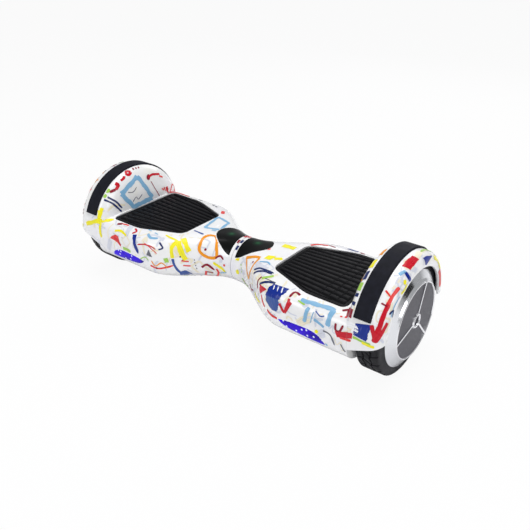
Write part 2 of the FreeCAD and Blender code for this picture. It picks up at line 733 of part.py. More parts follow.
def bearing(name, start):
    """A sealed ball bearing as one ring, with a recessed shield on each side."""
    end = f"{start} + 11"
    return lathe(name, [
        (start, "axle_radius + axle_fit"), (start, "axle_radius + 3"),
        (f"{start} + 0.6", "axle_radius + 3"), (f"{start} + 0.6", "bearing_radius - 2.5"),
        (start, "bearing_radius - 2.5"), (start, "bearing_radius"),
        (end, "bearing_radius"), (end, "bearing_radius - 2.5"), (f"{end} - 0.6", "bearing_radius - 2.5"),
        (f"{end} - 0.6", "axle_radius + 3"), (end, "axle_radius + 3"), (end, "axle_radius + axle_fit"),
    ])


keep_both("wheel_bearings", group(
    "WheelBearings", bearing("InnerBearing", "tyre_in + 1"), bearing("OuterBearing", "board_half - 18")
))


def magnets():
    """The rotor's magnets, spaced round the inside of the rim."""
    low, high = MM["rim_radius"] - 7.6, MM["rim_radius"] - 4.5
    start, along = Vector(MOTOR_MIDDLE - 13, 0, MM["axle_height"]), Vector(1, 0, 0)
    ring = Part.makeCylinder(high, 26, start, along).cut(Part.makeCylinder(low, 26, start, along))
    width = 2 * math.pi * low / MAGNETS * 0.86
    bar = Part.makeBox(26, width, 8, start + Vector(0, -width / 2, low - 2)).common(ring)
    pieces = []
    for i in range(MAGNETS):
        piece = bar.copy()
        piece.rotate(Vector(0, 0, MM["axle_height"]), Vector(1, 0, 0), 360 * i / MAGNETS)
        pieces.append(piece)
    return Part.makeCompound(pieces)


def stator():
    """The slotted core on its spider, held by the axle."""
    start = Vector(MOTOR_MIDDLE - 11, 0, MM["axle_height"])
    along = Vector(1, 0, 0)
    core = Part.makeCylinder(53.4, 22, start, along).cut(Part.makeCylinder(30, 22, start, along))
    slot = Part.makeBox(24, 5.2, 13, start + Vector(-1, -2.6, 37))
    mouth = Part.makeBox(24, 2.2, 10, start + Vector(-1, -1.1, 47))
    cutter = slot.fuse(mouth)
    slots = []
    for i in range(TEETH):
        piece = cutter.copy()
        piece.rotate(Vector(0, 0, MM["axle_height"]), along, 360 * i / TEETH)
        slots.append(piece)
    core = core.cut(Part.makeCompound(slots))
    spider = Part.makeCylinder(30, 6, start + Vector(8, 0, 0), along)
    spider = spider.cut(Part.makeCylinder(MM["axle_radius"], 6, start + Vector(8, 0, 0), along))
    return core.fuse(spider)


keep_both("rotor_magnets", feature("RotorMagnets", magnets()))
outer_turns = lathe("OuterTurns", [("276", "37"), ("279.4", "37.8"), ("279.4", "48.8"), ("276", "49.6")])
inner_turns = lathe("InnerTurns", [("250.6", "37.8"), ("254", "37"), ("254", "49.6"), ("250.6", "48.8")])
keep_both("wound_stator", fuse("WoundStator", feature("StatorCore", stator()), inner_turns, outer_turns))
keep_both("motor_axle", lathe("MotorAxle", [
    ("202", "3.6"), ("202", "axle_radius - 1"), ("203", "axle_radius"), ("board_half - 9", "axle_radius"),
    ("board_half - 8", "axle_radius - 1"), ("board_half - 8", "0"), ("246", "0"), ("246", "3.6"),
]))

cap = lathe("HubCap", [
    ("board_half - 3.5", "0"), ("board_half - 3.5", "cap_radius"), ("board_half - 2.2", "cap_radius"),
    ("board_half - 1.6", "12"), ("board_half - 1.6", "7.6"),
    ("board_half - 2.8", "7"), ("board_half - 2.8", "0"),
])
keep_both("hub_cap", cap)


def hub_trim():
    """The bright trim on the cap: an edge ring, a small centre ring and three spokes."""
    edge = lathe("TrimEdge", [
        ("board_half - 2", "cap_radius - 1.1"), ("board_half - 2", "cap_radius + 1.2"),
        ("board_half - 0.9", "cap_radius + 0.6"), ("board_half - 0.9", "cap_radius - 0.6"),
    ])
    centre = lathe("TrimCentre", [
        ("board_half - 1.6", "7.6"), ("board_half - 1.6", "11"),
        ("board_half", "10"), ("board_half", "8.2"),
    ])
    spokes = []
    for i, angle in enumerate(STAR_ANGLES):
        thick, length = ("board_half - 2", "board_half - 0.7"), ("0", "cap_radius - 10")
        spoke = block(f"TrimSpoke{i}", thick, ("-1.4", "1.4"), length)
        turn = Rotation(Vector(1, 0, 0), angle - 90)
        start = turn.multVec(Vector(0, -1.4, 10))
        spoke.Placement = Placement(Vector(), turn)
        spoke.setExpression("Placement.Base.x", bound("board_half - 2"))
        spoke.setExpression("Placement.Base.y", f"{start.y:.6f}")
        spoke.setExpression("Placement.Base.z", bound(f"axle_height + ({start.z:.6f})"))
        spokes.append(spoke)
    return cut("HubTrim", fuse("TrimBlank", edge, centre, *spokes), cap)


keep_both("hub_trim", hub_trim())

# ---------------------------------------------------------------- electrics
def sensors():
    """The two foot-sensor switches of one half, on the frame's plate."""
    housings = []
    for i, x in enumerate(SENSOR_X):
        heights = ("frame_z + frame_thick", "frame_z + frame_thick + 10")
        base = block(f"SensorBase{i}", (x - 7, x + 7), ("-7", "7"), heights)
        stem_long = f"{PLUNGER_END - PLUNGER_GAP - 10} - frame_z - frame_thick"
        stem = rod(f"SensorStem{i}", "4", stem_long, x, "0", "frame_z + frame_thick + 10", UPRIGHT)
        housings.append(fuse(f"Sensor{i}", base, stem))
    return group("FootSensors", *housings)


def balance_board():
    """The gyroscope board of one half on four standoffs."""
    low = "frame_z + frame_thick"
    parts = [block("BalancePlate", ("126", "168"), ("-24", "24"), (f"{low} + 6", f"{low} + 7.6"))]
    for i, (x, y) in enumerate((x, y) for x in (130, 164) for y in (-20, 20)):
        parts.append(rod(f"Standoff{i}", "2.4", "7", x, y, low, UPRIGHT))
    for i, (x, y) in enumerate(((134, -8), (146, 4), (156, -14))):
        parts.append(block(f"BalanceChip{i}", (x, x + 9), (y, y + 9), (f"{low} + 7.6", f"{low} + 9.2")))
    return fuse("BalanceBoard", *parts)


def light_board():
    """The headlight's strip of LEDs behind its lens."""
    heights = ("light_z - 5", "light_z + 5")
    parts = [block("LightPlate", ("light_x - 29", "light_x + 29"), ("-83.8", "-82.4"), heights)]
    led_heights = ("light_z - 1.75", "light_z + 1.75")
    for i in range(6):
        x = MM["light_x"] - 25 + 10 * i
        parts.append(block(f"Led{i}", (x - 1.75, x + 1.75), ("-85", "-83.8"), led_heights))
    return fuse("LightBoard", *parts)


def indicator_board():
    """The small board of status LEDs under the indicator lens."""
    parts = [block("IndicatorPlate", ("12", "40"), ("-9", "9"), ("107.2", "108.6"))]
    for i, x in enumerate((18, 26, 34)):
        parts.append(block(f"StatusLed{i}", (x - 1.5, x + 1.5), ("-1.5", "1.5"), ("108.6", "109.6")))
    return fuse("IndicatorBoard", *parts)


keep_both("foot_sensors", sensors())
keep_both("balance_board", balance_board())
keep_both("headlight_board", light_board())
keep_both("indicator_board", indicator_board())

battery = doc.addObject("PartDesign::Body", "Battery")
battery_corners = [("-194", "-41"), ("-98", "-41"), ("-98", "41"), ("-194", "41")]
battery_sketch = outline(battery, "XY_Plane", battery_corners)
battery_pad = battery.newObject("PartDesign::Pad", "BatteryPad")
battery_pad.Profile = battery_sketch
battery_pad.Length = 31.2
place(battery, z="39.6")
soften(battery, "4", lambda middle, edge: True)
keep("battery_pack", battery)


def battery_bracket():
    """The steel strap that hangs the pack from the frame's plate."""
    strap = block("StrapFloor", ("-152", "-132"), ("-42.8", "42.8"), ("37.8", "39.4"))
    arms = [
        block(f"StrapArm{i}", ("-152", "-132"), (low, high), ("37.8", "frame_z"))
        for i, (low, high) in enumerate((("-42.8", "-41.2"), ("41.2", "42.8")))
    ]
    return fuse("BatteryBracket", strap, *arms)


keep("battery_bracket", battery_bracket())


def main_board():
    """The motor controller: board, heat-sink bar, power transistors and capacitors."""
    parts = [
        block("MainPlate", ("86", "198"), ("-36", "36"), ("52", "53.6")),
        block("HeatBar", ("92", "190"), ("-34", "-22"), ("53.6", "61")),
    ]
    for i in range(6):
        x = 96 + 16 * i
        parts.append(block(f"Transistor{i}", (x, x + 10), ("-22", "-17.5"), ("53.6", "68")))
    for i, x in enumerate((104, 126, 148)):
        parts.append(rod(f"Capacitor{i}", "6.5", "14", x, "20", "53.6", UPRIGHT))
    for i, (x, y) in enumerate(((166, 2), (120, -10), (176, 22))):
        parts.append(block(f"MainChip{i}", (x, x + 14), (y, y + 12), ("53.6", "56.2")))
    for i, (x, y) in enumerate((x, y) for x in (90, 194) for y in (-30, 30)):
        parts.append(rod(f"MainPost{i}", "3", "frame_z - 52", x, y, "52", UPRIGHT))
    return fuse("MainBoard", *parts)


keep("main_board", main_board())


def cable(points, radius):
    """A cable along straight runs joined by tangent arcs, each as large as its two runs allow."""
    edges, previous = [], Vector(*points[0])
    for i in range(1, len(points) - 1):
        before, here, after = (Vector(*points[j]) for j in (i - 1, i, i + 1))
        back, ahead = (before - here), (after - here)
        turn = math.pi - back.getAngle(ahead)
        bend = 0.45 * min(back.Length, ahead.Length) / math.tan(turn / 2)
        reach = bend * math.tan(turn / 2)
        start = here + back.normalize() * reach
        end = here + ahead.normalize() * reach
        inward = (back + ahead).normalize()
        middle = here + inward * (bend / math.cos(turn / 2) - bend)
        edges.append(Part.makeLine(previous, start))
        edges.append(Part.Arc(start, middle, end).toShape())
        previous = end
        print(f"cable bend radius {bend:.1f} mm")
    edges.append(Part.makeLine(previous, Vector(*points[-1])))
    path = Part.Wire(edges)
    along = path.Edges[0].tangentAt(path.Edges[0].FirstParameter)
    ring = Part.Wire(Part.makeCircle(radius, Vector(*points[0]), along))
    tube = path.makePipeShell([ring], True, False)
    expected = math.pi * radius**2 * path.Length
    print(f"cable volume {tube.Volume:.0f} mm3, section times length {expected:.0f} mm3")
    return tube


AXLE_Z = MM["axle_height"]
MOTOR_ROUTE = [
    (210, 0, AXLE_Z), (194, 0, AXLE_Z), (182, -34, AXLE_Z + 0.8), (148, -38, AXLE_Z),
    (118, -32, AXLE_Z + 1), (100, -22, AXLE_Z + 1.5),
]
keep_both("motor_cable", feature("MotorCable", cable(MOTOR_ROUTE, 3.2)))


def loom():
    """The wiring that passes through the hollow shaft, with a plug past each end."""
    wires = rod("LoomWires", "4.5", "2 * boss_end + 22", x="-boss_end - 16")
    plug = rod("LoomPlug", "6", "10", x="boss_end + 6")
    tail = rod("LoomTail", "6", "10", x="-boss_end - 26")
    return fuse("Loom", wires, plug, tail)


keep("centre_loom", loom())


def charge_port():
    """The charging socket: flange, barrel and three recessed contacts."""
    blank = fuse(
        "PortBlank",
        rod("PortFlange", "9.6", "2", "port_x", "rear_y", "rear_z", ALONG_Y),
        rod("PortBarrel", "7.5", "20", "port_x", "rear_y - 19", "rear_z", ALONG_Y),
    )
    mouth = rod("PortMouth", "6", "6.5", "port_x", "rear_y - 4.5", "rear_z", ALONG_Y)
    well = rod("PortWell", "5.2", "6", "port_x", "rear_y - 10", "rear_z", ALONG_Y)
    lugs = []
    for i, (low, high) in enumerate((("port_x - 6.2", "port_x - 4.3"), ("port_x + 4.3", "port_x + 6.2"))):
        across = (low, high)
        tab = block(f"LugTab{i}", across, ("rear_y", "rear_y + 2"), ("rear_z - 12.6", "rear_z - 6"))
        ear = block(f"LugEar{i}", across, ("rear_y", "rear_y + 3.9"), ("rear_z - 12.6", "rear_z - 9.4"))
        lugs += [tab, ear]
    pivot = rod("PortPivot", "1.25", "20", "port_x - 10", "rear_y + 2.5", "rear_z - 11.2")
    hollow = cut("PortHollow", fuse("PortSolid", blank, *lugs), mouth, well, pivot)
    contacts = []
    for i, (x, z) in enumerate(((-2.6, -1.5), (2.6, -1.5), (0, 3))):
        at = (f"port_x + ({x})", "rear_y - 10.5", f"rear_z + ({z})")
        contacts.append(rod(f"Contact{i}", "0.9", "5.5", *at, ALONG_Y))
    return fuse("ChargePort", hollow, *contacts)


def port_flap():
    """The rubber flap over the charging socket, hinged on a small knuckle below it."""
    disc = rod("FlapDisc", "9", "1.6", "port_x", "rear_y + 2.1", "rear_z", ALONG_Y)
    across, through = ("port_x - 4", "port_x + 4"), ("rear_y + 2.1", "rear_y + 3.7")
    arm = block("FlapArm", across, through, ("rear_z - 11", "rear_z"))
    knuckle = rod("FlapKnuckle", "1.2", "12.4", "port_x - 6.2", "rear_y + 2.5", "rear_z - 11.2")
    return fuse("PortFlap", disc, arm, knuckle)


def power_switch():
    """The switch behind the power button, with the bezel that frames it."""
    blank = fuse(
        "SwitchBlank",
        rod("SwitchFlange", "9.6", "2", "button_x", "rear_y", "rear_z", ALONG_Y),
        rod("SwitchBarrel", "7.5", "20", "button_x", "rear_y - 19", "rear_z", ALONG_Y),
    )
    well = rod("SwitchWell", "6.3", "10", "button_x", "rear_y - 6", "rear_z", ALONG_Y)
    return cut("PowerSwitch", blank, well)


keep("charge_port", charge_port())
keep("port_flap", port_flap())
keep("power_switch", power_switch())
keep("power_button", rod("PowerButton", "6", "6.6", "button_x", "rear_y - 3.6", "rear_z", ALONG_Y))


# ---------------------------------------------------------------- checks and files
def main():
    """Recomputes the document, checks every object and sub-part, and writes one STEP file per sub-part."""
    doc.recompute()
    bad = [o.Name for o in doc.Objects if {"Invalid", "Error"} & set(o.State)]
    for label, made in nodes.items():
        shape = made.Shape
        if shape.isNull() or not shape.isValid() or not shape.Solids:
            bad.append(label)
    if bad:
        raise SystemExit(f"failed objects: {bad}")
    os.makedirs("parts", exist_ok=True)
    for old in os.listdir("parts"):
        os.remove(os.path.join("parts", old))
    for label, made in nodes.items():
        made.Shape.exportStep(f"parts/{label}.step")
    print(len(nodes), "sub-parts written")


main()
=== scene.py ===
import math
import random

import bpy
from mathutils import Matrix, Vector
from mathutils.bvhtree import BVHTree
from mathutils.interpolate import poly_3d_calc

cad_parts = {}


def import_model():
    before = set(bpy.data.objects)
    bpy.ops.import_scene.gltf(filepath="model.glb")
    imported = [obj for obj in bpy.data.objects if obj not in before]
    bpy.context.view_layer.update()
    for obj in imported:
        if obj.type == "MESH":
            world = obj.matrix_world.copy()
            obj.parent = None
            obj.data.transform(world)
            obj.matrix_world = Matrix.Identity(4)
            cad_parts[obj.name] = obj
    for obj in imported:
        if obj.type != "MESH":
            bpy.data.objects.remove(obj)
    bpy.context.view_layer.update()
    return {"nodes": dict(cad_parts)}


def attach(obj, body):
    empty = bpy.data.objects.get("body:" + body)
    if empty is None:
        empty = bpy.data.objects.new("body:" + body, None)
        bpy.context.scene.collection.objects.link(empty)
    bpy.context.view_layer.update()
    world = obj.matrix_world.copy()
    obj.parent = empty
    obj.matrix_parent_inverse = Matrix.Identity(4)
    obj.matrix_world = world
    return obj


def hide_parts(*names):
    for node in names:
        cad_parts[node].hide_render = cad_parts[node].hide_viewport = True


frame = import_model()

MM = 0.001  # the board is drawn in millimetres, and the studio in metres
AXLE_Z = 82.5
SIDES = ("left", "right")
NODES = frame["nodes"]
SIGN = {"left": -1, "right": 1}


# ---------------------------------------------------------------- camera, floor and light
FLOOR_SIZE = 60
FLOOR_GLOW = 0.93
WORLD_LIGHT = 0.42
BOARD_MIDDLE = (0, 0, 0.08)
RIGHT_WHEEL = (0.29, 0, 0.08)


def add(name, data):
    """A new object in the scene."""
    made = bpy.data.objects.new(name, data)
    bpy.context.scene.collection.objects.link(made)
    return made


def aim(made, place, target, front="-Z"):
    """Puts an object in its place and turns its front to the target."""
    made.location = place
    made.rotation_euler = (Vector(target) - Vector(place)).to_track_quat(front, "Y").to_euler()


def camera(place, target, lens):
    """The camera, without roll, looking at the target."""
    data = bpy.data.cameras.new("camera")
    data.lens = lens
    data.sensor_width = 36
    made = add("camera", data)
    aim(made, place, target)
    bpy.context.scene.camera = made


camera((0.556, -0.6653, 0.5465), (0.0278, 0.0148, 0.0704), 42.81)
bpy.context.scene.view_settings.view_transform = "Standard"


def nodes_of(tree_owner):
    """A cleared node tree."""
    tree_owner.use_nodes = True
    tree = tree_owner.node_tree
    tree.nodes.clear()
    return tree


def rectangle(name, width, depth, material):
    """A flat rectangle about the origin that is part of the stage."""
    w, d = width / 2, depth / 2
    mesh = bpy.data.meshes.new(name)
    mesh.from_pydata([(-w, -d, 0), (w, -d, 0), (w, d, 0), (-w, d, 0)], [], [(0, 1, 2, 3)])
    made = add(name, mesh)
    mesh.materials.append(material)
    return made


def floor_material():
    """White ground that still takes the object's shadow."""
    material = bpy.data.materials.new("floor")
    tree = nodes_of(material)
    out = tree.nodes.new("ShaderNodeOutputMaterial")
    mix = tree.nodes.new("ShaderNodeMixShader")
    glow = tree.nodes.new("ShaderNodeEmission")
    matt = tree.nodes.new("ShaderNodeBsdfDiffuse")
    matt.inputs["Color"].default_value = (0.86, 0.86, 0.87, 1)
    path = tree.nodes.new("ShaderNodeLightPath")
    share = tree.nodes.new("ShaderNodeMath")
    share.operation = "MULTIPLY"
    share.inputs[1].default_value = FLOOR_GLOW
    tree.links.new(path.outputs["Is Camera Ray"], share.inputs[0])
    tree.links.new(share.outputs[0], mix.inputs[0])
    tree.links.new(matt.outputs[0], mix.inputs[1])
    tree.links.new(glow.outputs[0], mix.inputs[2])
    tree.links.new(mix.outputs[0], out.inputs["Surface"])
    return material


rectangle("floor", FLOOR_SIZE, FLOOR_SIZE, floor_material())


def world():
    """White to the camera, and a softer grey as light and in mirrors."""
    made = bpy.data.worlds.new("world")
    bpy.context.scene.world = made
    tree = nodes_of(made)
    out = tree.nodes.new("ShaderNodeOutputWorld")
    mix = tree.nodes.new("ShaderNodeMixShader")
    seen = tree.nodes.new("ShaderNodeBackground")
    lit = tree.nodes.new("ShaderNodeBackground")
    seen.inputs["Color"].default_value = (1, 1, 1, 1)
    lit.inputs["Color"].default_value = (0.97, 0.98, 1.0, 1)
    lit.inputs["Strength"].default_value = WORLD_LIGHT
    path = tree.nodes.new("ShaderNodeLightPath")
    tree.links.new(path.outputs["Is Camera Ray"], mix.inputs[0])
    tree.links.new(lit.outputs[0], mix.inputs[1])
    tree.links.new(seen.outputs[0], mix.inputs[2])
    tree.links.new(mix.outputs[0], out.inputs["Surface"])


world()


def softbox(name, place, size, power):
    """A rectangular studio light aimed at the board."""
    data = bpy.data.lights.new(name, "AREA")
    data.shape = "RECTANGLE"
    data.size, data.size_y = size
    data.energy = power
    aim(add(name, data), place, BOARD_MIDDLE)


softbox("top_box", (0.1, 0.15, 1.7), (1.5, 1.1), 17)
softbox("front_box", (-0.5, -1.7, 0.9), (1.2, 0.9), 9)
softbox("side_box", (1.8, -0.3, 0.7), (0.9, 0.9), 7)
softbox("back_box", (-0.2, 1.7, 0.9), (1.4, 0.7), 5)


def dark_card(name, place, size):
    """A matt dark square that the wheel mirrors: outside the photo's view, but in sight from some sides."""
    material = bpy.data.materials.new(name)
    tree = nodes_of(material)
    out = tree.nodes.new("ShaderNodeOutputMaterial")
    matt = tree.nodes.new("ShaderNodeBsdfDiffuse")
    matt.inputs["Color"].default_value = (0.02, 0.02, 0.02, 1)
    tree.links.new(matt.outputs[0], out.inputs["Surface"])
    aim(rectangle(name, size, size, material), place, RIGHT_WHEEL, front="Z")


dark_card("card_low", (1.5, 0.75, 0.25), 0.5)
dark_card("card_high", (1.0, 0.2, 0.9), 0.3)


# ---------------------------------------------------------------- materials
class Look:
    """One procedural material: a principled shader fed by small node chains in object space."""

    def __init__(self, name, colour, roughness, metallic=0.0, coat=0.0, coat_roughness=0.05, specular=0.5):
        self.material = bpy.data.materials.new(name)
        self.tree = nodes_of(self.material)
        self.shader = self.node("ShaderNodeBsdfPrincipled")
        out = self.node("ShaderNodeOutputMaterial")
        self.link(self.shader.outputs[0], out.inputs["Surface"])
        self.shader.inputs["Metallic"].default_value = metallic
        self.shader.inputs["Coat Weight"].default_value = coat
        self.shader.inputs["Coat Roughness"].default_value = coat_roughness
        self.shader.inputs["Specular IOR Level"].default_value = specular
        self.shader.inputs["Roughness"].default_value = roughness
        self.shader.inputs["Base Color"].default_value = (*colour, 1)
        self.colour = colour
        self.roughness = roughness
        self.place = self.node("ShaderNodeTexCoord").outputs["Object"]
        self.last_bump = None

    def node(self, kind, **settings):
        """A new node with its settings."""
        made = self.tree.nodes.new(kind)
        for key, setting in settings.items():
            setattr(made, key, setting)
        return made

    def link(self, a, b):
        self.tree.links.new(a, b)

    def stretched(self, scale):
        """Object coordinates scaled per axis."""
        mapping = self.node("ShaderNodeMapping")
        mapping.inputs["Scale"].default_value = scale
        self.link(self.place, mapping.inputs["Vector"])
        return mapping.outputs[0]

    def noise(self, scale, detail=3.0, rough=0.5, vector=None):
        """Noise from 0 to 1, in object space unless it is given a vector."""
        made = self.node("ShaderNodeTexNoise")
        made.inputs["Scale"].default_value = scale
        made.inputs["Detail"].default_value = detail
        made.inputs["Roughness"].default_value = rough
        self.link(vector or self.place, made.inputs["Vector"])
        return made.outputs["Fac"]

    def remap(self, value, low, high, to_low, to_high):
        """A value moved from one range to another."""
        made = self.node("ShaderNodeMapRange")
        for key, number in zip(("From Min", "From Max", "To Min", "To Max"), (low, high, to_low, to_high)):
            made.inputs[key].default_value = number
        self.link(value, made.inputs["Value"])
        return made.outputs[0]

    def ramp(self, value, stops):
        """A value turned into colours, each at its stop."""
        made = self.node("ShaderNodeValToRGB")
        ramp = made.color_ramp
        while len(ramp.elements) < len(stops):
            ramp.elements.new(0.5)
        for element, (at, colour) in zip(ramp.elements, stops):
            element.position = at
            element.color = (*colour, 1)
        self.link(value, made.inputs["Fac"])
        return made.outputs["Color"]

    def mix(self, value, a, b):
        """Colour a where the value is 0, and b where it is 1; each is a socket or a plain colour."""
        made = self.node("ShaderNodeMix", data_type="RGBA")
        for socket, thing in ((made.inputs[0], value), (made.inputs[6], a), (made.inputs[7], b)):
            if hasattr(thing, "links"):
                self.link(thing, socket)
            else:
                socket.default_value = (*thing, 1)
        return made.outputs[2]

    def mottled(self, scale, strength, detail=4.0):
        """Base colour that drifts lighter and darker by strength."""
        dark = tuple(c * (1 - strength) for c in self.colour)
        light = tuple(min(1.0, c * (1 + strength)) for c in self.colour)
        shade = self.ramp(self.noise(scale, detail), [(0.32, dark), (0.68, light)])
        self.link(shade, self.shader.inputs["Base Color"])
        return self

    def worn(self, scale, spread):
        """Roughness that varies by spread."""
        value = self.remap(self.noise(scale, 5), 0.3, 0.7, self.roughness - spread, self.roughness + spread)
        self.link(value, self.shader.inputs["Roughness"])
        return self

    def bump(self, height, distance, strength=1.0):
        """Adds a height, in metres of distance, to the surface's grain."""
        made = self.node("ShaderNodeBump")
        made.inputs["Distance"].default_value = distance
        made.inputs["Strength"].default_value = strength
        self.link(height, made.inputs["Height"])
        if self.last_bump:
            self.link(self.last_bump, made.inputs["Normal"])
        self.last_bump = made.outputs[0]
        self.link(self.last_bump, self.shader.inputs["Normal"])
        return self

    def grain(self, scale, distance, strength=0.5):
        """A fine moulded or cast grain."""
        return self.bump(self.noise(scale, 2), distance, strength)


def put(look, *names):
    """Gives a look to CAD nodes."""
    for name in names:
        for slot in NODES[name].material_slots:
            slot.material = look.material


def both(*names):
    """The names of both halves' nodes."""
    return [f"{name}_{side}" for name in names for side in SIDES]


shell = Look("shell_gloss", (0.87, 0.87, 0.89), 0.24, coat=0.6, coat_roughness=0.06)
tint = shell.ramp(shell.noise(16, 4, 0.6), [
    (0.30, (0.84, 0.84, 0.90)), (0.45, (0.89, 0.89, 0.90)),
    (0.58, (0.89, 0.89, 0.89)), (0.74, (0.90, 0.89, 0.83)),
])
shell.link(tint, shell.shader.inputs["Base Color"])
shell.worn(60, 0.04).grain(900, 0.00002, 0.25)
put(shell, *both("top_cover", "bottom_cover"))

strip = Look("strip_rubber", (0.0075, 0.008, 0.014), 0.62, specular=0.14)
strip.mottled(120, 0.25).worn(70, 0.06).grain(2600, 0.00005, 0.5)
put(strip, *both("fender_strip"))

mat = Look("mat_rubber", (0.0035, 0.0035, 0.005), 0.42, specular=0.10)
mat.mottled(150, 0.25).worn(90, 0.07).grain(2200, 0.00005, 0.5)
put(mat, *both("foot_mat"))

tread = Look("tyre_rubber", (0.009, 0.009, 0.012), 0.45, specular=0.2)
tread.mottled(140, 0.3).worn(80, 0.08).grain(1800, 0.00008, 0.6)
put(tread, *both("tyre"))

rim = Look("polished_rim", (0.80, 0.81, 0.83), 0.16, metallic=1.0)
rim.worn(240, 0.04).bump(rim.noise(1.0, 3, 0.6, rim.stretched((2600, 90, 90))), 0.00001, 0.4)
put(rim, *both("rim"))

cast = Look("cast_aluminium", (0.55, 0.56, 0.58), 0.42, metallic=1.0)
cast.mottled(90, 0.12).worn(120, 0.08).grain(700, 0.00015, 0.5)
put(cast, *both("frame", "motor_end_cover", "axle_clamp"))

cap = Look("cap_satin", (0.070, 0.068, 0.082), 0.42, specular=0.35)
cap.mottled(60, 0.10).worn(300, 0.05).grain(3200, 0.00004, 0.4)
put(cap, *both("hub_cap"))

chrome = Look("chrome_trim", (0.90, 0.90, 0.92), 0.08, metallic=1.0)
chrome.worn(180, 0.03)
put(chrome, *both("hub_trim"))

steel = Look("machined_steel", (0.48, 0.48, 0.50), 0.3, metallic=1.0)
steel.mottled(80, 0.1).worn(160, 0.08).grain(1400, 0.00004, 0.4)
put(steel, *both("motor_axle", "wheel_bearings", "rotor_magnets"))
put(steel, "centre_shaft", "stop_pin", "shaft_circlip", "battery_bracket")

black_screw = Look("blackened_steel", (0.035, 0.035, 0.038), 0.38, metallic=0.8)
black_screw.mottled(200, 0.2).worn(200, 0.08)
put(black_screw, *both("cover_screws", "clamp_screws"))

core = Look("wound_core", (0.30, 0.13, 0.06), 0.45, metallic=0.7)
core.mottled(300, 0.35).worn(220, 0.1).grain(1500, 0.0001, 0.5)
put(core, *both("wound_stator"))

bronze = Look("sintered_bronze", (0.55, 0.36, 0.14), 0.4, metallic=1.0)
bronze.mottled(200, 0.15).worn(160, 0.08)
put(bronze, "shaft_bushes")

board = Look("circuit_board", (0.012, 0.11, 0.045), 0.4, coat=0.3)
board.mottled(420, 0.5).worn(300, 0.1)
put(board, *both("balance_board", "headlight_board", "indicator_board"), "main_board")

black = Look("moulded_black", (0.018, 0.018, 0.02), 0.32, coat=0.2)
black.mottled(160, 0.2).worn(140, 0.06).grain(1700, 0.00004, 0.4)
put(black, *both("foot_sensors"), "charge_port", "power_switch")

sheath = Look("cable_sheath", (0.015, 0.015, 0.016), 0.5)
sheath.mottled(180, 0.2).worn(140, 0.07)
put(sheath, *both("motor_cable"), "centre_loom", "port_flap")

pack_film = Look("pack_wrap", (0.02, 0.09, 0.36), 0.28, coat=0.3)
pack_film.mottled(70, 0.15).grain(220, 0.0002, 0.5)
put(pack_film, "battery_pack")

button = Look("button_satin", (0.42, 0.43, 0.45), 0.3, metallic=0.6)
button.mottled(120, 0.08).worn(200, 0.05)
put(button, "power_button")


def smoked_look():
    """Smoked plastic with a faint green glow in the middle of each lens."""
    look = Look("smoked_lens", (0.002, 0.0022, 0.0024), 0.3, coat=0.12, coat_roughness=0.08, specular=0.1)
    look.mottled(40, 0.3)
    mirrored = look.node("ShaderNodeVectorMath", operation="ABSOLUTE")
    look.link(look.place, mirrored.inputs[0])
    centred = look.node("ShaderNodeMapping")
    centred.inputs["Location"].default_value = (-2.6, 0, -11.5)
    centred.inputs["Scale"].default_value = (100, 100, 100)
    look.link(mirrored.outputs[0], centred.inputs["Vector"])
    ball = look.node("ShaderNodeTexGradient", gradient_type="SPHERICAL")
    look.link(centred.outputs[0], ball.inputs["Vector"])
    glow = look.ramp(ball.outputs["Fac"], [
        (0.0, (0, 0, 0)), (0.5, (0.0, 0.02, 0.008)), (1.0, (0.01, 0.12, 0.04)),
    ])
    look.link(glow, look.shader.inputs["Emission Color"])
    look.shader.inputs["Emission Strength"].default_value = 0.8
    return look


def lamp_look():
    """A lit blue lens with small bright points, spread over its upright face."""
    look = Look("lit_lens", (0.006, 0.0, 0.10), 0.3, coat=0.08, specular=0.12)
    look.mottled(90, 0.2)
    cells = look.node("ShaderNodeTexVoronoi", voronoi_dimensions="2D")
    cells.inputs["Scale"].default_value = 74
    upright = look.node("ShaderNodeMapping")
    upright.inputs["Rotation"].default_value = (-math.pi / 2, 0, 0)
    look.link(look.place, upright.inputs["Vector"])
    look.link(upright.outputs[0], cells.inputs["Vector"])
    blue = look.ramp(look.noise(60, 2), [(0.35, (0.004, 0.0, 0.16)), (0.6, (0.026, 0.0, 0.62))])
    points = look.ramp(cells.outputs["Distance"], [(0.07, (1, 1, 1)), (0.13, (0, 0, 0))])
    look.link(look.mix(points, blue, (0.8, 0.85, 1.0)), look.shader.inputs["Emission Color"])
    look.shader.inputs["Emission Strength"].default_value = 0.95
    return look


put(smoked_look(), *both("indicator_lens"))
put(lamp_look(), *both("headlight_lens"))


# ---------------------------------------------------------------- the foot mats' ribs and the tyres' tread
def made_object(name, points, faces, body, look):
    """A smooth mesh object that rides on a body."""
    mesh = bpy.data.meshes.new(name)
    mesh.from_pydata([Vector(p) * MM for p in points], [], faces)
    mesh.polygons.foreach_set("use_smooth", [True] * len(mesh.polygons))
    mesh.materials.append(look.material)
    made = add(name, mesh)
    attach(made, body)
    return made


def step(value, low, high):
    """A soft step from 0 at low to 1 at high."""
    t = min(1, max(0, (value - low) / (high - low)))
    return t * t * (3 - 2 * t)


MAT_IN, MAT_OUT, MAT_HALF = 88, 223, 70
MAT_TOP, MAT_BASE = 111, 106.9
INNER_CORNER, OUTER_CORNER, EDGE_ROUND = 16, 9, 1.6
RIB_PITCH, GROOVE_DEEP, GAP_DEEP, RIB_CROWN = 11.4, 2.4, 1.4, 0.5
CROSS_GAPS = (176, 190, 204)
MAT_ROWS = 150


def arc(x, middle, radius):
    """How far a circle about the middle reaches at x."""
    return math.sqrt(max(0, radius**2 - (x - middle) ** 2))


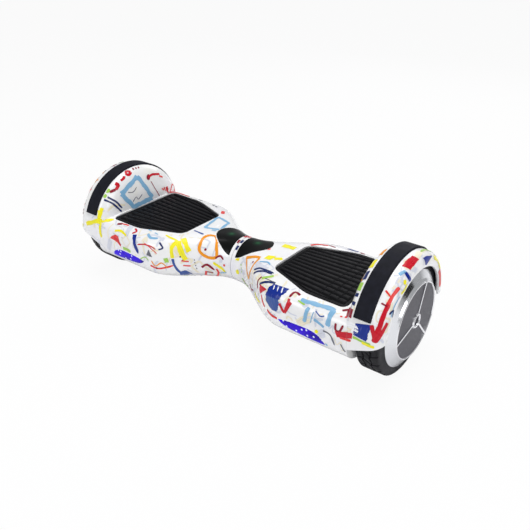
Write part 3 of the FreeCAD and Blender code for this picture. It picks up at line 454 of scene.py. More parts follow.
def mat_half(x):
    """Half depth of the mat's outline at x, from the narrow inner end to the wide outer one."""
    if x < 98.5:
        return 32.8 + arc(x, MAT_IN + INNER_CORNER, INNER_CORNER)
    if x < 148.5:
        return 44 + (x - MAT_IN) * 26 / 72
    if x < 172.3:
        return arc(x, 172.3, MAT_HALF)
    if x < MAT_OUT - OUTER_CORNER:
        return MAT_HALF
    return MAT_HALF - OUTER_CORNER + arc(x, MAT_OUT - OUTER_CORNER, OUTER_CORNER)


def mat_height(x, y):
    """Height of the mat's top: a raised border, crowned ribs with grooves between, and thin cross gaps."""
    border = min(mat_half(x) - abs(y), x - MAT_IN, MAT_OUT - x)
    edge = min(EDGE_ROUND, max(0, border))
    height = MAT_TOP - EDGE_ROUND + arc(edge, EDGE_ROUND, EDGE_ROUND)
    field = step(border, 5.2, 6.6)
    spread = 0.74 + 0.26 * (x - MAT_IN) / (MAT_OUT - MAT_IN)
    rib = y / spread / RIB_PITCH
    off = abs(rib - round(rib)) * RIB_PITCH * spread
    half = RIB_PITCH / 2 * spread
    groove = step(off, half - 2.7, half - 1.0)
    crown = RIB_CROWN * (off / half) ** 2
    channel = field * (1 - step(border, 6.8, 8.2))
    gap = max(1 - step(abs(x - place), 0.5, 1.3) for place in CROSS_GAPS)
    gap *= step(border, 8, 10) * (1 - groove)
    return height - GROOVE_DEEP * max(groove * field, channel) - GAP_DEEP * gap - crown * field


def outward(sign, ring):
    """A face's corners, turned round on the mirrored half so that it still faces out."""
    return tuple(ring) if sign > 0 else tuple(ring[:1] + ring[:0:-1])


def foot_mat(side):
    """The ribbed mat as a fine height field with a rounded edge and a skirt."""
    sign = SIGN[side]
    columns = [MAT_IN + 1.35 * (1 - math.cos(math.pi * i / 6)) for i in range(6)]
    columns += [90.7 + i * 0.99 for i in range(132)]
    columns += [220.6, 221.4, 222.2, 222.7, MAT_OUT]
    shares = [k / MAT_ROWS for k in range(-MAT_ROWS, MAT_ROWS + 1)]
    rows = [math.sin(math.pi / 2 * t) * 0.35 + 0.65 * t for t in shares]
    points = []
    for x in columns:
        for t in rows:
            y = t * mat_half(x)
            points.append((sign * x, y, mat_height(x, y)))
    wide, last = len(rows), len(columns) - 1
    faces = []
    for i in range(last):
        for j in range(wide - 1):
            a = i * wide + j
            faces.append(outward(sign, [a, a + wide, a + wide + 1, a + 1]))
    ring = list(range(wide))
    ring += [i * wide + wide - 1 for i in range(1, last + 1)]
    ring += [last * wide + j for j in range(wide - 2, -1, -1)]
    ring += [i * wide for i in range(last - 1, 0, -1)]
    base = len(points)
    points += [(*points[index][:2], MAT_BASE) for index in ring]
    count = len(ring)
    for k in range(count):
        following = (k + 1) % count
        faces.append(outward(sign, [ring[k], ring[following], base + following, base + k]))
    under_face = range(base, base + count)
    faces.append(tuple(under_face) if sign > 0 else tuple(reversed(under_face)))
    made = made_object(f"ribbed_mat_{side}", points, faces, f"foot_pad_{side}", mat)
    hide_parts(f"foot_mat_{side}")


TYRE_MIDDLE, TYRE_HALF = 263, 17
BEAD, WALL_TOP, TYRE_RADIUS = 62, 76, AXLE_Z
SHOULDER_ROUND = 2.5
TYRE_STEPS = 600
BLOCK_DEGREES, BLOCK_MM = 12, 12 * 1.44
TREAD_DEEP = 3.2


def tread_depth(w, degrees):
    """How deep the tread is cut at w across and the angle round: two zigzag grooves, and slanted ones."""
    phase = (degrees % BLOCK_DEGREES) / BLOCK_DEGREES
    zig = 1.9 * (abs(phase - 0.5) * 4 - 1) * 0.7
    ring = max(1 - step(abs(w - 5.4 - zig), 0.5, 1.3), 1 - step(abs(w + 5.4 + zig), 0.5, 1.3))
    slant = (phase + w * 0.03) % 1
    ribs = 1 - step(abs(slant - 0.5) * BLOCK_MM, 0.6, 1.5)
    shoulder = ribs * step(abs(w), 5.2, 6)
    lean = (phase + 0.5 - w * 0.05) % 1
    centre = (1 - step(abs(lean - 0.5) * BLOCK_MM, 0.4, 1.2)) * (1 - step(abs(w), 4.6, 5.4))
    return TREAD_DEEP * max(ring, shoulder, centre) * (1 - step(abs(w), 15.2, 16.4))


def tyre_section():
    """The tyre's closed section as (across, radius) pairs, from one bead over the tread to the other."""
    wall = [(TYRE_HALF, r) for r in (BEAD, 66, 72, WALL_TOP)]
    for a in (0.3, 0.6, 0.9, 1.2, 1.4):
        across = TYRE_HALF - SHOULDER_ROUND * (1 - math.cos(a))
        wall.append((across, WALL_TOP + (TYRE_RADIUS - WALL_TOP) * math.sin(a)))
    tread_line = [(w * 0.5, TYRE_RADIUS) for w in range(-29, 30)]
    return [(-w, r) for w, r in wall] + tread_line + wall[::-1]


def tyre(side):
    """The tyre, turned from its section with the tread cut in."""
    sign = SIGN[side]
    section = tyre_section()
    points = []
    for k in range(TYRE_STEPS):
        degrees = 360 * k / TYRE_STEPS
        out, up = math.cos(math.radians(degrees)), math.sin(math.radians(degrees))
        for w, r in section:
            if r > WALL_TOP:
                r -= tread_depth(w, degrees)
            points.append((sign * (TYRE_MIDDLE + w), out * r, AXLE_Z + up * r))
    count = len(section)
    faces = []
    for k in range(TYRE_STEPS):
        here, there = k * count, (k + 1) % TYRE_STEPS * count
        for j in range(count):
            other = (j + 1) % count
            faces.append(outward(sign, [here + j, here + other, there + other, there + j]))
    made = made_object(f"treaded_tyre_{side}", points, faces, f"{side}_wheel", tread)
    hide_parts(f"tyre_{side}")


for half in SIDES:
    foot_mat(half)
    tyre(half)


# ---------------------------------------------------------------- the printed pattern
LEAN = math.radians(30)  # how far the wrap sheet leans back
INK_LIFT = 0.06  # the first shape above the cover, and each later one by LAYER_LIFT more
LAYER_LIFT = 0.0015
INK_STEP = 1.4  # between the points of a brush line
REACH = 0.004  # how far a point may be from the cover, in metres
RAY_START = 0.4  # where the rays of the flat sheets start, in metres
CROWN_START, LIP_START = 0.2, 0.05  # and those of the round ones
DOME_X, LIP_X, LIP_RADIUS = 150, 287, 74
BRUSH_FULL = 1.18  # how wide a brush line is drawn against its width
STREAK_STEP = 0.14  # how far the ink's streaks run from one row of a line to the next
SEEDS = {"left": 7, "right": 11}


def srgb(*channels):
    """A display colour, 0 to 255 a channel, as a linear one."""
    return tuple(((c / 255 + 0.055) / 1.055) ** 2.4 if c > 10 else c / 255 / 12.92 for c in channels)


INKS = {
    "red": srgb(200, 6, 34), "crimson": srgb(140, 0, 38), "coral": srgb(228, 58, 54),
    "orange": srgb(240, 152, 28), "yellow": srgb(246, 236, 40), "green": srgb(164, 208, 88),
    "royal": srgb(0, 40, 140), "denim": srgb(56, 86, 156), "navy": srgb(10, 34, 96),
    "sky": srgb(132, 182, 218), "grey": srgb(104, 106, 116), "chalk": srgb(244, 245, 248),
    "mist": srgb(214, 217, 228), "sand": srgb(238, 230, 206),
}
BRIGHT_INKS = ("red", "crimson", "coral", "orange", "yellow", "green", "royal", "navy", "sky", "grey")

DOODLES = ("line", "zigzag", "ring", "cross", "outline", "blot", "brush", "ticks", "arrow", "burst")


class Skin:
    """The outside of one half: its covers take ink, and what stands on them masks it."""

    def __init__(self, side):
        self.points, self.corners, self.normals, self.inked = [], [], [], []
        covers = (f"top_cover_{side}", f"bottom_cover_{side}")
        masks = ("headlight_lens", "indicator_lens", "foot_mat", "fender_strip", "tyre", "rim")
        for name in covers + tuple(f"{mask}_{side}" for mask in masks):
            mesh = NODES[name].data
            base = len(self.points)
            self.points += [v.co.copy() for v in mesh.vertices]
            for polygon in mesh.polygons:
                self.corners.append([base + i for i in polygon.vertices])
                self.normals.append([mesh.corner_normals[i].vector.copy() for i in polygon.loop_indices])
                self.inked.append(name in covers)
        self.tree = BVHTree.FromPolygons(self.points, self.corners)

    def at(self, found, index):
        """A point on the surface with the covers' smooth normal, or None off the covers."""
        if found is None or not self.inked[index]:
            return None
        shares = poly_3d_calc([self.points[i] for i in self.corners[index]], found)
        normal = Vector()
        for share, corner in zip(shares, self.normals[index]):
            normal += share * corner
        return found.copy(), normal.normalized()

    def touch(self, origin, into):
        """Where a ray first meets the half."""
        found, _, index, _ = self.tree.ray_cast(origin, into)
        return self.at(found, index)

    def near(self, place):
        """The nearest place on the half, within a few millimetres."""
        found, _, index, _ = self.tree.find_nearest(place, REACH)
        return self.at(found, index)


# Each sheet turns two numbers on a flat drawing, in millimetres or degrees, into a ray at the covers.
def wrap(sign, u, v):
    """Over the front and the top: u along the board, v up a sheet that leans back."""
    into = Vector((0, math.cos(LEAN), -math.sin(LEAN)))
    return Vector((u, v * math.sin(LEAN), v * math.cos(LEAN))) * MM - into * RAY_START, into


def behind(sign, u, v):
    """The same sheet seen from the back."""
    into = Vector((0, -math.cos(LEAN), -math.sin(LEAN)))
    return Vector((u, -v * math.sin(LEAN), v * math.cos(LEAN))) * MM - into * RAY_START, into


def top(sign, u, v):
    """Straight down: x and y."""
    return Vector((u * MM, v * MM, RAY_START)), Vector((0, 0, -1))


def under(sign, u, v):
    """Straight up: x and y."""
    return Vector((u * MM, v * MM, -0.1)), Vector((0, 0, 1))


def dome(sign, u, v):
    """The arch's inner dome, from the middle of the board: y and z."""
    return Vector((sign * DOME_X, u, v)) * MM, Vector((sign, 0, 0))


def crown(sign, degrees, v):
    """Round the arch: degrees about the axle from +Y over the top, and the distance out along the board."""
    out = Vector((0, math.cos(math.radians(degrees)), math.sin(math.radians(degrees))))
    return Vector((sign * v, 0, AXLE_Z)) * MM + out * CROWN_START, -out


def lip(sign, degrees, v):
    """Round the arch's outer edge: degrees as on the crown, and v from the hub opening towards the strip."""
    out = Vector((0, math.cos(math.radians(degrees)), math.sin(math.radians(degrees))))
    side = Vector((sign, 0, 0))
    start = Vector((sign * LIP_X, 0, AXLE_Z)) * MM + out * LIP_RADIUS * MM
    slant = (side + out).normalized()
    return start + (out - side).normalized() * v * MM + slant * LIP_START, -slant


def smooth(points, closed=False, step=INK_STEP):
    """A flowing line through drawn points, sampled evenly."""
    if len(points) == 1:
        return [Vector(points[0])]
    points = [Vector(p) for p in points]
    count = len(points)
    line = []
    for i in range(count if closed else count - 1):
        if closed:
            a, b, c, d = (points[(i + k) % count] for k in (-1, 0, 1, 2))
        else:
            a, b, c, d = (points[min(count - 1, max(0, i + k))] for k in (-1, 0, 1, 2))
        parts = max(1, round((c - b).length / step))
        for j in range(parts):
            t = j / parts
            square, cube = 2 * a - 5 * b + 4 * c - d, 3 * b - a - 3 * c + d
            line.append(0.5 * (2 * b + (c - a) * t + square * t**2 + cube * t**3))
    line.append(line[0] if closed else points[-1])
    return line


class Printer:
    """Lays thin printed shapes on one half, one mesh for each colour."""

    def __init__(self, side):
        self.side, self.sign = side, SIGN[side]
        self.skin = Skin(side)
        self.dice = random.Random(SEEDS[side])
        self.layer = 0
        self.meshes = {name: ([], [], [], []) for name in INKS}

    def grid(self, ink, rows):
        """Adds a sheet of quads from rows of (point, normal) pairs, leaving out what missed the covers."""
        points, normals, faces, marks = self.meshes[ink]
        self.layer += 1
        lift = (INK_LIFT + LAYER_LIFT * self.layer) * MM
        start = self.dice.uniform(0, 50)
        index = {}
        for i, row in enumerate(rows):
            for j, spot in enumerate(row):
                if spot is None:
                    continue
                index[i, j] = len(points)
                points.append(spot[0] + spot[1] * lift)
                normals.append(spot[1])
                marks.append((start + i * STREAK_STEP, start + j / max(1, len(row) - 1)))
        longest = 5 * INK_STEP * MM
        for i in range(len(rows) - 1):
            for j in range(len(rows[i]) - 1):
                ring = [index.get(key) for key in ((i, j), (i + 1, j), (i + 1, j + 1), (i, j + 1))]
                if None in ring:
                    continue
                corners = [points[k] for k in ring]
                if max((corners[k] - corners[k - 1]).length for k in range(4)) > longest:
                    continue
                facing = (corners[1] - corners[0]).cross(corners[2] - corners[0])
                faces.append(ring if facing.dot(normals[ring[0]]) > 0 else ring[::-1])

    def stroke(self, ink, sheet, width, points, closed=False, taper=(0.75, 0.45)):
        """A brush line with a width in mm, a little uneven, and thinner at the ends."""
        spots = [self.skin.touch(*sheet(self.sign, *p)) for p in smooth(points, closed)]
        last = len(spots) - 1
        phases = [self.dice.uniform(0, 6.28) for _ in range(3)]
        rows = []
        for i, spot in enumerate(spots):
            if spot is None:
                rows.append([None] * 4)
                continue
            around = [s for s in (spots[max(0, i - 1)], spots[min(last, i + 1)]) if s]
            along = around[-1][0] - around[0][0]
            if along.length < 1e-7:
                rows.append([None] * 4)
                continue
            across = spot[1].cross(along).normalized()
            t = i / max(1, last)
            ends = 1 if closed else min(1, taper[0] + 7 * t, taper[1] + 5 * (1 - t))
            half = BRUSH_FULL * width / 2 * MM * ends
            left = half * (1 + 0.14 * math.sin(i * 0.55 + phases[0]) + 0.07 * math.sin(i * 1.3 + phases[1]))
            right = half * (1 + 0.14 * math.sin(i * 0.47 + phases[2]))
            rows.append([self.skin.near(spot[0] + across * k) for k in (-left, -left / 3, right / 3, right)])
        self.grid(ink, rows)

    def patch(self, ink, sheet, edge, other):
        """A filled brush patch between two drawn edges."""
        length = max(len(smooth(edge)), len(smooth(other)), 3)

        def even(points):
            line = smooth(points, step=0.4)
            return [line[round(i * (len(line) - 1) / (length - 1))] for i in range(length)]

        pairs = list(zip(even(edge), even(other)))
        count = max(2, round(max((a - b).length for a, b in pairs) / INK_STEP))
        rows = []
        for i, (a, b) in enumerate(pairs):
            rough = 0.03 * math.sin(i * 0.9) + 0.02 * math.sin(i * 2.3 + 1)
            rows.append([
                self.skin.touch(*sheet(self.sign, *a.lerp(b, k / count * (1 - 2 * rough) + rough)))
                for k in range(count + 1)
            ])
        self.grid(ink, rows)

    def dot(self, ink, sheet, centre, radius):
        """A round blot."""
        spot = self.skin.touch(*sheet(self.sign, *centre))
        if spot is None:
            return
        middle, normal = spot
        side = normal.orthogonal().normalized()
        other = normal.cross(side)
        rows = []
        for ring in (0.02, 0.5, 1.0):
            row = []
            for k in range(17):
                angle = math.tau * k / 16
                reach = radius * MM * ring * (1 + 0.1 * math.sin(2 * angle + 1) + 0.05 * math.sin(5 * angle))
                way = side * math.cos(angle) + other * math.sin(angle)
                row.append(self.skin.near(middle + way * reach))
            rows.append(row)
        self.grid(ink, rows)

    def dashes(self, ink, sheet, width, start, end, count):
        """Short ticks in a row."""
        start, end = Vector(start), Vector(end)
        gap = (end - start) / (2 * count - 1)
        for i in range(count):
            self.stroke(ink, sheet, width, [start + gap * 2 * i, start + gap * (2 * i + 1)], taper=(1, 1))

    def scatter(self, sheet, u_range, v_range, count, size=11, inks=BRIGHT_INKS):
        """Loose doodles of every kind over a stretch of the half, one in each cell of a grid."""
        dice = self.dice
        long, high = u_range[1] - u_range[0], v_range[1] - v_range[0]
        columns = max(1, round(math.sqrt(count * abs(long) / abs(high))))
        lines = max(1, math.ceil(count / columns))
        for n in range(columns * lines):
            u = u_range[0] + long * (n % columns + dice.uniform(0.2, 0.8)) / columns
            v = v_range[0] + high * (n // columns + dice.uniform(0.2, 0.8)) / lines
            kind = DOODLES[(n * 7 + dice.randrange(3)) % len(DOODLES)]
            ink = dice.choice(inks)
            turn = dice.uniform(0, math.pi)
            reach = size * dice.uniform(0.6, 1.2)
            self.doodle(kind, ink, sheet, Vector((u, v)), turn, reach)

    def doodle(self, kind, ink, sheet, middle, turn, reach):
        """One generic mark about a middle point."""
        width = self.dice.uniform(1.3, 3.2)

        def spot(r, degrees):
            angle = turn + math.radians(degrees)
            return middle + Vector((math.cos(angle), math.sin(angle))) * r * reach

        if kind == "line":
            self.stroke(ink, sheet, width, [spot(1, 0), spot(0.2, 90), spot(1, 180)])
        elif kind == "zigzag":
            turns = [spot(1, 0), spot(0.5, 50), spot(0.3, -60), spot(0.5, 130), spot(1, 180)]
            self.stroke(ink, sheet, width * 0.7, turns)
        elif kind == "ring":
            self.stroke(ink, sheet, width, [spot(0.6, a) for a in (0, 90, 180, 270)], closed=True)
        elif kind == "cross":
            self.stroke(ink, sheet, width, [spot(0.8, 0), spot(0.8, 180)])
            self.stroke(ink, sheet, width, [spot(0.8, 85), spot(0.7, 268)])
        elif kind == "outline":
            self.box_line(ink, sheet, width, [spot(0.9, a) for a in (40, 130, 225, 320)])
        elif kind == "blot":
            self.dot(ink, sheet, middle, 0.35 * reach)
        elif kind == "brush":
            self.patch(ink, sheet, [spot(1, 20), spot(1, 160)], [spot(0.8, -35), spot(1, 200)])
        elif kind == "ticks":
            self.dashes(ink, sheet, width, spot(1, 0), spot(1, 180), 3)
        elif kind == "arrow":
            shaft = [spot(1, 180), spot(0.1, 90), spot(1, 0)]
            self.arrow(ink, sheet, width, shaft, spot(0.55, 42), spot(0.55, -42))
        elif kind == "burst":
            for a in (0, 65, 130, 200, 270):
                self.stroke(ink, sheet, width * 0.8, [spot(0.15, a), spot(0.9, a)])

    def box_line(self, ink, sheet, width, corners):
        """An outline with brushed straight sides."""
        for a, b in zip(corners, corners[1:] + corners[:1]):
            self.stroke(ink, sheet, width, [a, b], taper=(0.9, 0.9))

    def arrow(self, ink, sheet, width, shaft, one_barb, other_barb):
        """A shaft that ends in two barbs."""
        self.stroke(ink, sheet, width, shaft, taper=(0.5, 1))
        self.stroke(ink, sheet, width, [one_barb, shaft[-1]], taper=(0.7, 0.9))
        self.stroke(ink, sheet, width, [other_barb, shaft[-1]], taper=(0.7, 0.9))

    def finish(self):
        """Makes the meshes and lets them ride on the half."""
        for name, (points, normals, faces, marks) in self.meshes.items():
            if not faces:
                continue
            mesh = bpy.data.meshes.new(f"print_{name}_{self.side}")
            mesh.from_pydata(points, [], faces)
            layer = mesh.uv_layers.new(name="brush")
            for corner in mesh.loops:
                layer.data[corner.index].uv = marks[corner.vertex_index]
            mesh.polygons.foreach_set("use_smooth", [True] * len(mesh.polygons))
            mesh.normals_split_custom_set_from_vertices(normals)
            made = add(mesh.name, mesh)
            mesh.materials.append(ink_look(name).material)
            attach(made, f"{self.side}_half")


INK_LOOKS = {}


def ink_look(name):
    """Printed ink under the shell's lacquer: streaked along the brush, with a little mottling."""
    if name in INK_LOOKS:
        return INK_LOOKS[name]
    colour = INKS[name]
    look = Look(f"ink_{name}", colour, 0.3, coat=0.22, coat_roughness=0.06, specular=0.22)
    brush = look.node("ShaderNodeUVMap", uv_map="brush").outputs[0]
    mapping = look.node("ShaderNodeMapping")
    mapping.inputs["Scale"].default_value = (0.5, 9, 1)
    look.link(brush, mapping.inputs["Vector"])
    streaks = look.noise(1.0, 4, 0.6, mapping.outputs[0])
    pale = tuple(c + (0.86 - c) * 0.16 for c in colour)
    deep = tuple(c * 0.82 for c in colour)
    streaked = look.ramp(streaks, [(0.34, deep), (0.50, colour), (0.60, colour), (0.74, pale)])
    look.link(streaked, look.shader.inputs["Base Color"])
    look.worn(60, 0.04).grain(900, 0.00002, 0.25)
    INK_LOOKS[name] = look
    return look


def print_left():
    """The left half's pattern, from the arch inwards, then the sides that face away."""
    p = Printer("left")
    p.scatter(wrap, (-262, -14), (8, 84), 44, size=13, inks=("mist", "sand", "mist"))
    p.box_line("sky", dome, 6.5, [(-4, 162), (19, 118), (-24, 115), (-43, 143)])
    p.patch("sky", dome, [(-24, 119), (16, 119)], [(-27, 112), (20, 113)])
    p.stroke("navy", dome, 0.9, [(-24, 124), (-16, 130), (-12, 125), (-2, 131)])
    p.stroke("grey", dome, 1.2, [(-30, 142), (-20, 140), (-11, 146)])
    p.stroke("red", dome, 5, [(-46, 161), (-43, 157), (-50, 152)])
    p.stroke("crimson", dome, 3.5, [(-50, 152), (-60, 150)])
    p.stroke("red", dome, 4, [(-27, 168), (-30, 165), (-36, 163)])
    p.stroke("red", dome, 4, [(-13, 171), (-18, 173), (-22, 170), (-18, 168)], closed=True)
    p.dashes("crimson", dome, 3, (-6, 174), (8, 173), 3)
    p.dot("green", dome, (-61, 152), 4)
    p.dot("green", dome, (-68, 145), 3.2)
    p.patch("yellow", crown, [(150, 241), (162, 241)], [(150, 236), (162, 237)])
    p.stroke("yellow", wrap, 6, [(-268, 37), (-240, 49), (-219, 59)])
    p.stroke("yellow", wrap, 5, [(-243, 66), (-236, 42), (-233, 24)])
    p.stroke("navy", dome, 2.6, [(-66, 143), (-56, 134), (-47, 120)])
    p.stroke("navy", dome, 2.6, [(-73, 141), (-62, 132), (-49, 114)])
    p.dot("crimson", dome, (19, 154), 4.6)
    p.stroke("red", dome, 3.4, [(19, 154), (32, 155), (48, 150)])
    p.stroke("coral", dome, 2.4, [(45, 148), (54, 143)])
    p.stroke("crimson", dome, 1.3, [(22, 146), (29, 130), (37, 114)])
    p.stroke("red", top, 6, [(-229, 58), (-226, 66), (-218, 73)])
    p.stroke("coral", top, 5, [(-221, 74), (-206, 76), (-190, 75)])
    p.stroke("grey", top, 3, [(-168, 76), (-158, 77)])
    p.dashes("grey", top, 3, (-131, 72), (-118, 68), 2)
    p.stroke("coral", top, 5, [(-99, 62), (-90, 52)])
    p.box_line("sky", top, 4.2, [(-76, -8), (-50, 0), (-58, 30), (-86, 36)])
    p.stroke("denim", top, 2.6, [(-82, -26), (-61, -27)])
    loop = [(-54, 84), (-40, 87), (-31, 76), (-26, 58), (-40, 54), (-49, 58), (-53, 70)]
    p.stroke("orange", wrap, 4, loop, closed=True)
    p.dot("crimson", wrap, (-43, 64), 2)
    p.stroke("yellow", wrap, 3, [(-108, 65), (-84, 63)])
    p.stroke("yellow", wrap, 5, [(-84, 64), (-86, 50), (-84, 35)])
    p.stroke("yellow", wrap, 7.5, [(-82, 64), (-75, 52), (-67, 39)], taper=(1, 0.9))
    p.stroke("yellow", wrap, 6.5, [(-80, 69), (-72, 64), (-63, 53)], taper=(1, 0.8))
    p.stroke("royal", wrap, 6, [(-156, 50), (-151, 37), (-144, 23)], taper=(1, 0.2))
    p.stroke("red", wrap, 1.6, [(-144, 37), (-130, 41), (-117, 42), (-108, 40)])
    p.stroke("coral", wrap, 1.2, [(-130, 43), (-118, 40), (-106, 34)])
    p.patch("grey", wrap, [(-120, 36), (-119, 35)], [(-125, 26), (-114, 26)])
    p.patch("coral", wrap, [(-211, 29), (-200, 37), (-190, 38)], [(-203, 29), (-194, 27), (-184, 22)])
    p.stroke("red", wrap, 3, [(-199, 33), (-190, 30), (-185, 24)])
    p.stroke("green", wrap, 4.5, [(-180, 22), (-162, 21)])
    p.stroke("crimson", wrap, 4, [(-204, 55), (-196, 58)])
    p.stroke("coral", wrap, 2.4, [(-196, 58), (-182, 59)])
    p.stroke("denim", wrap, 3.6, [(-84, 34), (-82, 24), (-77, 15), (-70, 14)])
    p.patch("denim", wrap, [(-82, 12), (-70, 22), (-58, 16)], [(-82, 9), (-70, 9), (-58, 12)])
    p.dot("navy", wrap, (-74, 41), 1.4)
    p.dot("navy", wrap, (-71, 37), 1.1)
    p.stroke("coral", wrap, 2, [(-73, 35), (-63, 38)])
    p.stroke("coral", wrap, 2, [(-71, 29), (-61, 32)])
    p.stroke("coral", wrap, 2.6, [(-119, 12), (-109, 11), (-98, 15), (-84, 24)])
    p.stroke("orange", wrap, 1.6, [(-116, 20), (-110, 14), (-100, 22), (-92, 17)])
    p.dot("crimson", wrap, (-109, 11), 2)
    p.stroke("crimson", wrap, 3.4, [(-47, 35), (-39, 42), (-30, 37)])
    p.stroke("crimson", wrap, 2.6, [(-44, 30), (-34, 32)])
    p.dashes("grey", wrap, 1.2, (-56, 44), (-54, 30), 4)
    p.dot("coral", wrap, (-12, 50), 2)
    p.stroke("sky", wrap, 2, [(-22, 36), (-10, 40)])
    p.stroke("red", top, 3.4, [(-2.6, 14), (-2.6, 2)], taper=(1, 1))
    p.stroke("crimson", top, 3, [(-2.6, -8), (-2.6, -15)], taper=(1, 1))
    p.dashes("sky", wrap, 1.6, (-176, 66), (-120, 62), 4)
    p.stroke("green", wrap, 1.4, [(-140, 16), (-128, 22), (-121, 19)])
    p.stroke("yellow", wrap, 3.2, [(-200, 44), (-186, 47), (-172, 43)])
    p.stroke("sky", wrap, 3.6, [(-136, 58), (-124, 54), (-113, 57)])
    p.stroke("red", wrap, 2.6, [(-166, 58), (-158, 55), (-163, 50)])
    p.stroke("navy", wrap, 2.2, [(-106, 52), (-98, 46), (-104, 41)])
    p.patch("green", wrap, [(-97, 30), (-91, 33)], [(-95, 24), (-89, 27)])
    p.stroke("orange", wrap, 2.8, [(-60, 12), (-50, 17), (-40, 13), (-30, 18)])
    p.stroke("crimson", wrap, 2.4, [(-27, 56), (-20, 62), (-14, 58)])
    p.stroke("yellow", wrap, 4, [(-30, 48), (-20, 45), (-12, 40)])
    p.stroke("sky", wrap, 2.4, [(-60, 94), (-48, 95), (-40, 92)])
    p.stroke("coral", wrap, 3, [(-28, 84), (-22, 92), (-14, 94)])
    p.scatter(behind, (-228, -14), (-6, 48), 34, size=13)
    p.scatter(under, (-222, -16), (-60, 60), 26, size=13)
    p.scatter(dome, (62, 44), (120, 136), 1)
    p.scatter(lip, (-5, 185), (4, 20), 16, size=7)
    p.scatter(crown, (14, 24), (226, 240), 1, size=8)
    p.finish()


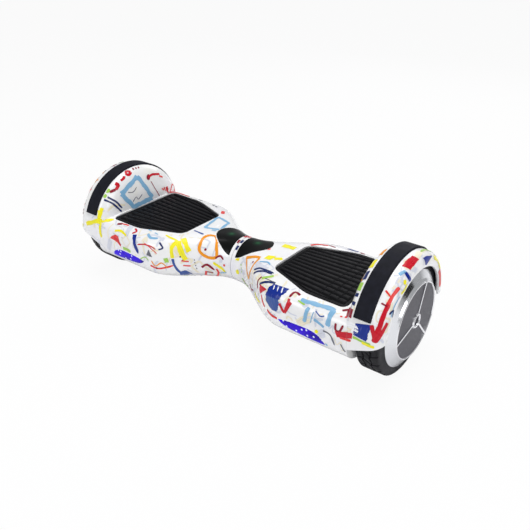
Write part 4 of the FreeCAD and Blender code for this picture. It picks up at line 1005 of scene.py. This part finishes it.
def print_right():
    """The right half's pattern, from the waist outwards, then the sides that face away."""
    p = Printer("right")
    p.scatter(wrap, (14, 246), (4, 76), 40, size=13, inks=("mist", "sand", "mist"))
    p.scatter(lip, (20, 176), (6, 22), 12, size=8, inks=("mist", "sand"))
    p.dot("coral", wrap, (50, 96), 3.4)
    p.patch("yellow", wrap, [(59, 110), (80, 111)], [(60, 105), (80, 106)])
    p.stroke("yellow", wrap, 4, [(86, 109), (94, 111)])
    p.stroke("yellow", wrap, 6, [(75, 86), (84, 90)], taper=(1, 0.6))
    p.stroke("orange", wrap, 4.4, [(29, 73), (42, 79), (55, 81)], taper=(0.9, 0.9))
    p.stroke("orange", wrap, 2.4, [(31, 73), (40, 58), (49, 46)])
    p.stroke("orange", wrap, 2.8, [(55, 80), (52, 62), (49, 46)])
    p.dot("crimson", wrap, (48, 72), 1.6)
    p.patch("yellow", wrap, [(8, 68), (16, 69)], [(8, 64), (15, 65)])
    p.dot("yellow", wrap, (15, 48), 4)
    p.stroke("navy", wrap, 2.6, [(60, 63), (70, 68), (82, 69), (98, 69)])
    p.stroke("navy", wrap, 2.8, [(63, 58), (72, 64), (85, 67), (97, 67)])
    p.stroke("green", wrap, 4, [(87, 57), (102, 66)])
    p.stroke("grey", wrap, 1.2, [(93, 59), (114, 59)])
    p.stroke("navy", wrap, 3.2, [(87, 49), (101, 56), (114, 58)])
    p.stroke("crimson", wrap, 2.6, [(85, 59), (81, 51), (84, 41)])
    p.patch("red", wrap, [(88, 49), (92, 36)], [(107, 47), (105, 45)])
    p.stroke("coral", wrap, 3, [(96, 36), (100, 28), (106, 22)])
    p.patch("royal", wrap, [(112, 57), (108, 46), (108, 38)], [(139, 58), (136, 50), (132, 40)])
    p.patch("denim", wrap, [(108, 39), (110, 31), (122, 23)], [(132, 41), (133, 32), (130, 23)])
    for x in (115, 122, 129):
        p.stroke("chalk", wrap, 1.5, [(x, 57), (x + 3, 50)])
    p.stroke("crimson", wrap, 3, [(158, 56), (149, 57), (146, 49)])
    p.arrow("red", wrap, 3.8, [(147, 47), (147, 37), (143, 26)], (134, 36), (152, 43))
    p.stroke("sky", wrap, 5.4, [(163, 51), (188, 53), (214, 55)])
    p.stroke("sky", wrap, 4.6, [(179, 46), (175, 25)])
    p.stroke("sky", wrap, 6, [(212, 54), (211, 32)])
    p.stroke("sky", wrap, 1.2, [(188, 43), (185, 27)])
    p.stroke("green", wrap, 2, [(160, 49), (172, 47)])
    p.stroke("denim", wrap, 1.6, [(190, 45), (198, 41), (204, 43)])
    p.dot("yellow", wrap, (195, 19), 2.8)
    p.stroke("grey", wrap, 1.8, [(205, 24), (216, 22), (223, 11)])
    p.stroke("crimson", wrap, 3.2, [(222, 57), (228, 61)])
    p.stroke("crimson", wrap, 3, [(233, 52), (228, 64)])
    p.stroke("red", wrap, 2.2, [(236, 60), (232, 68)])
    p.dashes("coral", wrap, 1.8, (224, 50), (233, 52), 2)
    p.stroke("crimson", wrap, 2.8, [(222, 40), (223, 32), (229, 32), (233, 41)])
    p.patch("red", wrap, [(222, 30), (248, 37)], [(226, 23), (248, 29)])
    p.stroke("coral", wrap, 3, [(230, 24), (247, 26)])
    p.patch("royal", wrap, [(249, 50), (249, 35)], [(270, 55), (268, 33)])
    p.stroke("chalk", wrap, 5, [(236, 45), (246, 47), (252, 42), (246, 37)])
    p.stroke("green", wrap, 2.8, [(249, 32), (264, 31), (274, 31)])
    p.stroke("yellow", wrap, 3, [(262, 30), (274, 29), (279, 30)])
    p.stroke("red", lip, 6.4, [(173, 19), (160, 17)], taper=(0.6, 1))
    p.stroke("red", lip, 5, [(164, 18), (150, 16), (140, 16)], taper=(1, 1))
    p.stroke("coral", lip, 4, [(141, 16), (134, 15), (125, 12)])
    p.stroke("red", lip, 4.2, [(160, 25), (172, 19)])
    p.stroke("red", lip, 4.2, [(155, 9), (164, 12), (172, 18)])
    p.stroke("coral", lip, 2, [(132, 24), (135, 17)])
    p.stroke("crimson", lip, 2, [(142, 23), (143, 16)])
    p.patch("red", lip, [(108, 23), (92, 22)], [(106, 12), (90, 13)])
    p.stroke("sky", lip, 4, [(116, 20), (110, 16)])
    p.stroke("royal", lip, 4, [(111, 16), (112, 9), (111, 2)])
    p.dot("yellow", lip, (118, 9), 3)
    p.patch("royal", lip, [(84, 12), (64, 11)], [(81, 3), (78, 2)])
    p.stroke("yellow", lip, 5, [(60, 10), (46, 9), (34, 7)])
    p.stroke("coral", lip, 5, [(36, 4), (24, 3), (11, 3)])
    p.stroke("sky", lip, 1.4, [(150, 6), (140, 7), (130, 5)])
    p.patch("orange", crown, [(94, 242), (103, 242)], [(94, 237), (103, 237)])
    p.patch("yellow", crown, [(109, 242), (118, 242)], [(109, 236), (118, 236)])
    p.patch("navy", crown, [(121, 242), (129, 242)], [(122, 237), (130, 237)])
    p.patch("green", crown, [(132, 242), (139, 242)], [(132, 235), (139, 236)])
    p.patch("navy", crown, [(141, 242), (144, 242)], [(141, 236), (144, 236)])
    p.patch("navy", crown, [(148, 242), (151, 242)], [(148, 235), (151, 235)])
    p.patch("crimson", crown, [(154, 242), (161, 242)], [(154, 234), (161, 235)])
    p.patch("denim", top, [(139, 78), (156, 79)], [(139, 73), (156, 74)])
    p.stroke("crimson", top, 3.4, [(160, 76), (168, 75)])
    p.stroke("coral", top, 4, [(91, 46), (98, 56), (112, 63)])
    p.stroke("crimson", top, 2.6, [(112, 64), (124, 64)])
    p.stroke("navy", top, 3, [(2.6, -6), (2.6, -13)], taper=(1, 1))
    p.stroke("navy", top, 3, [(2.6, -18), (2.6, -24)], taper=(1, 1))
    p.stroke("red", top, 3, [(2.6, 12), (2.6, 5)], taper=(1, 1))
    p.dashes("green", wrap, 1.6, (22, 62), (26, 50), 3)
    p.stroke("yellow", wrap, 5, [(20, 97), (30, 94), (38, 98)], taper=(1, 0.5))
    p.patch("yellow", wrap, [(62, 88), (73, 90)], [(61, 82), (72, 83)])
    p.stroke("sky", wrap, 2.4, [(60, 76), (72, 79), (80, 77)])
    p.stroke("green", wrap, 2.6, [(26, 42), (34, 36), (44, 34)])
    p.stroke("crimson", wrap, 2.2, [(54, 40), (60, 34), (68, 35)])
    p.stroke("yellow", wrap, 3, [(74, 34), (80, 27), (92, 24)])
    p.stroke("coral", wrap, 3, [(112, 20), (122, 15), (134, 14)])
    p.stroke("yellow", wrap, 3.4, [(150, 12), (166, 9), (182, 10)])
    p.stroke("sky", wrap, 4, [(184, 6), (200, 5), (212, 7)])
    p.stroke("grey", wrap, 1.6, [(232, 16), (238, 9), (246, 6)])
    p.stroke("sky", wrap, 3.4, [(190, 34), (200, 31), (206, 29)])
    p.stroke("yellow", lip, 3.6, [(128, 5), (122, 3), (117, 4)])
    p.stroke("green", lip, 2.4, [(80, 20), (70, 21), (60, 18)])
    p.stroke("navy", lip, 2, [(148, 10), (144, 6), (150, 3)])
    p.scatter(behind, (14, 160), (-6, 48), 22, size=13)
    p.scatter(behind, (214, 246), (0, 48), 5)
    p.scatter(under, (16, 222), (-60, 60), 26, size=13)
    p.scatter(dome, (-60, 60), (122, 160), 9)
    p.finish()


print_left()
print_right()
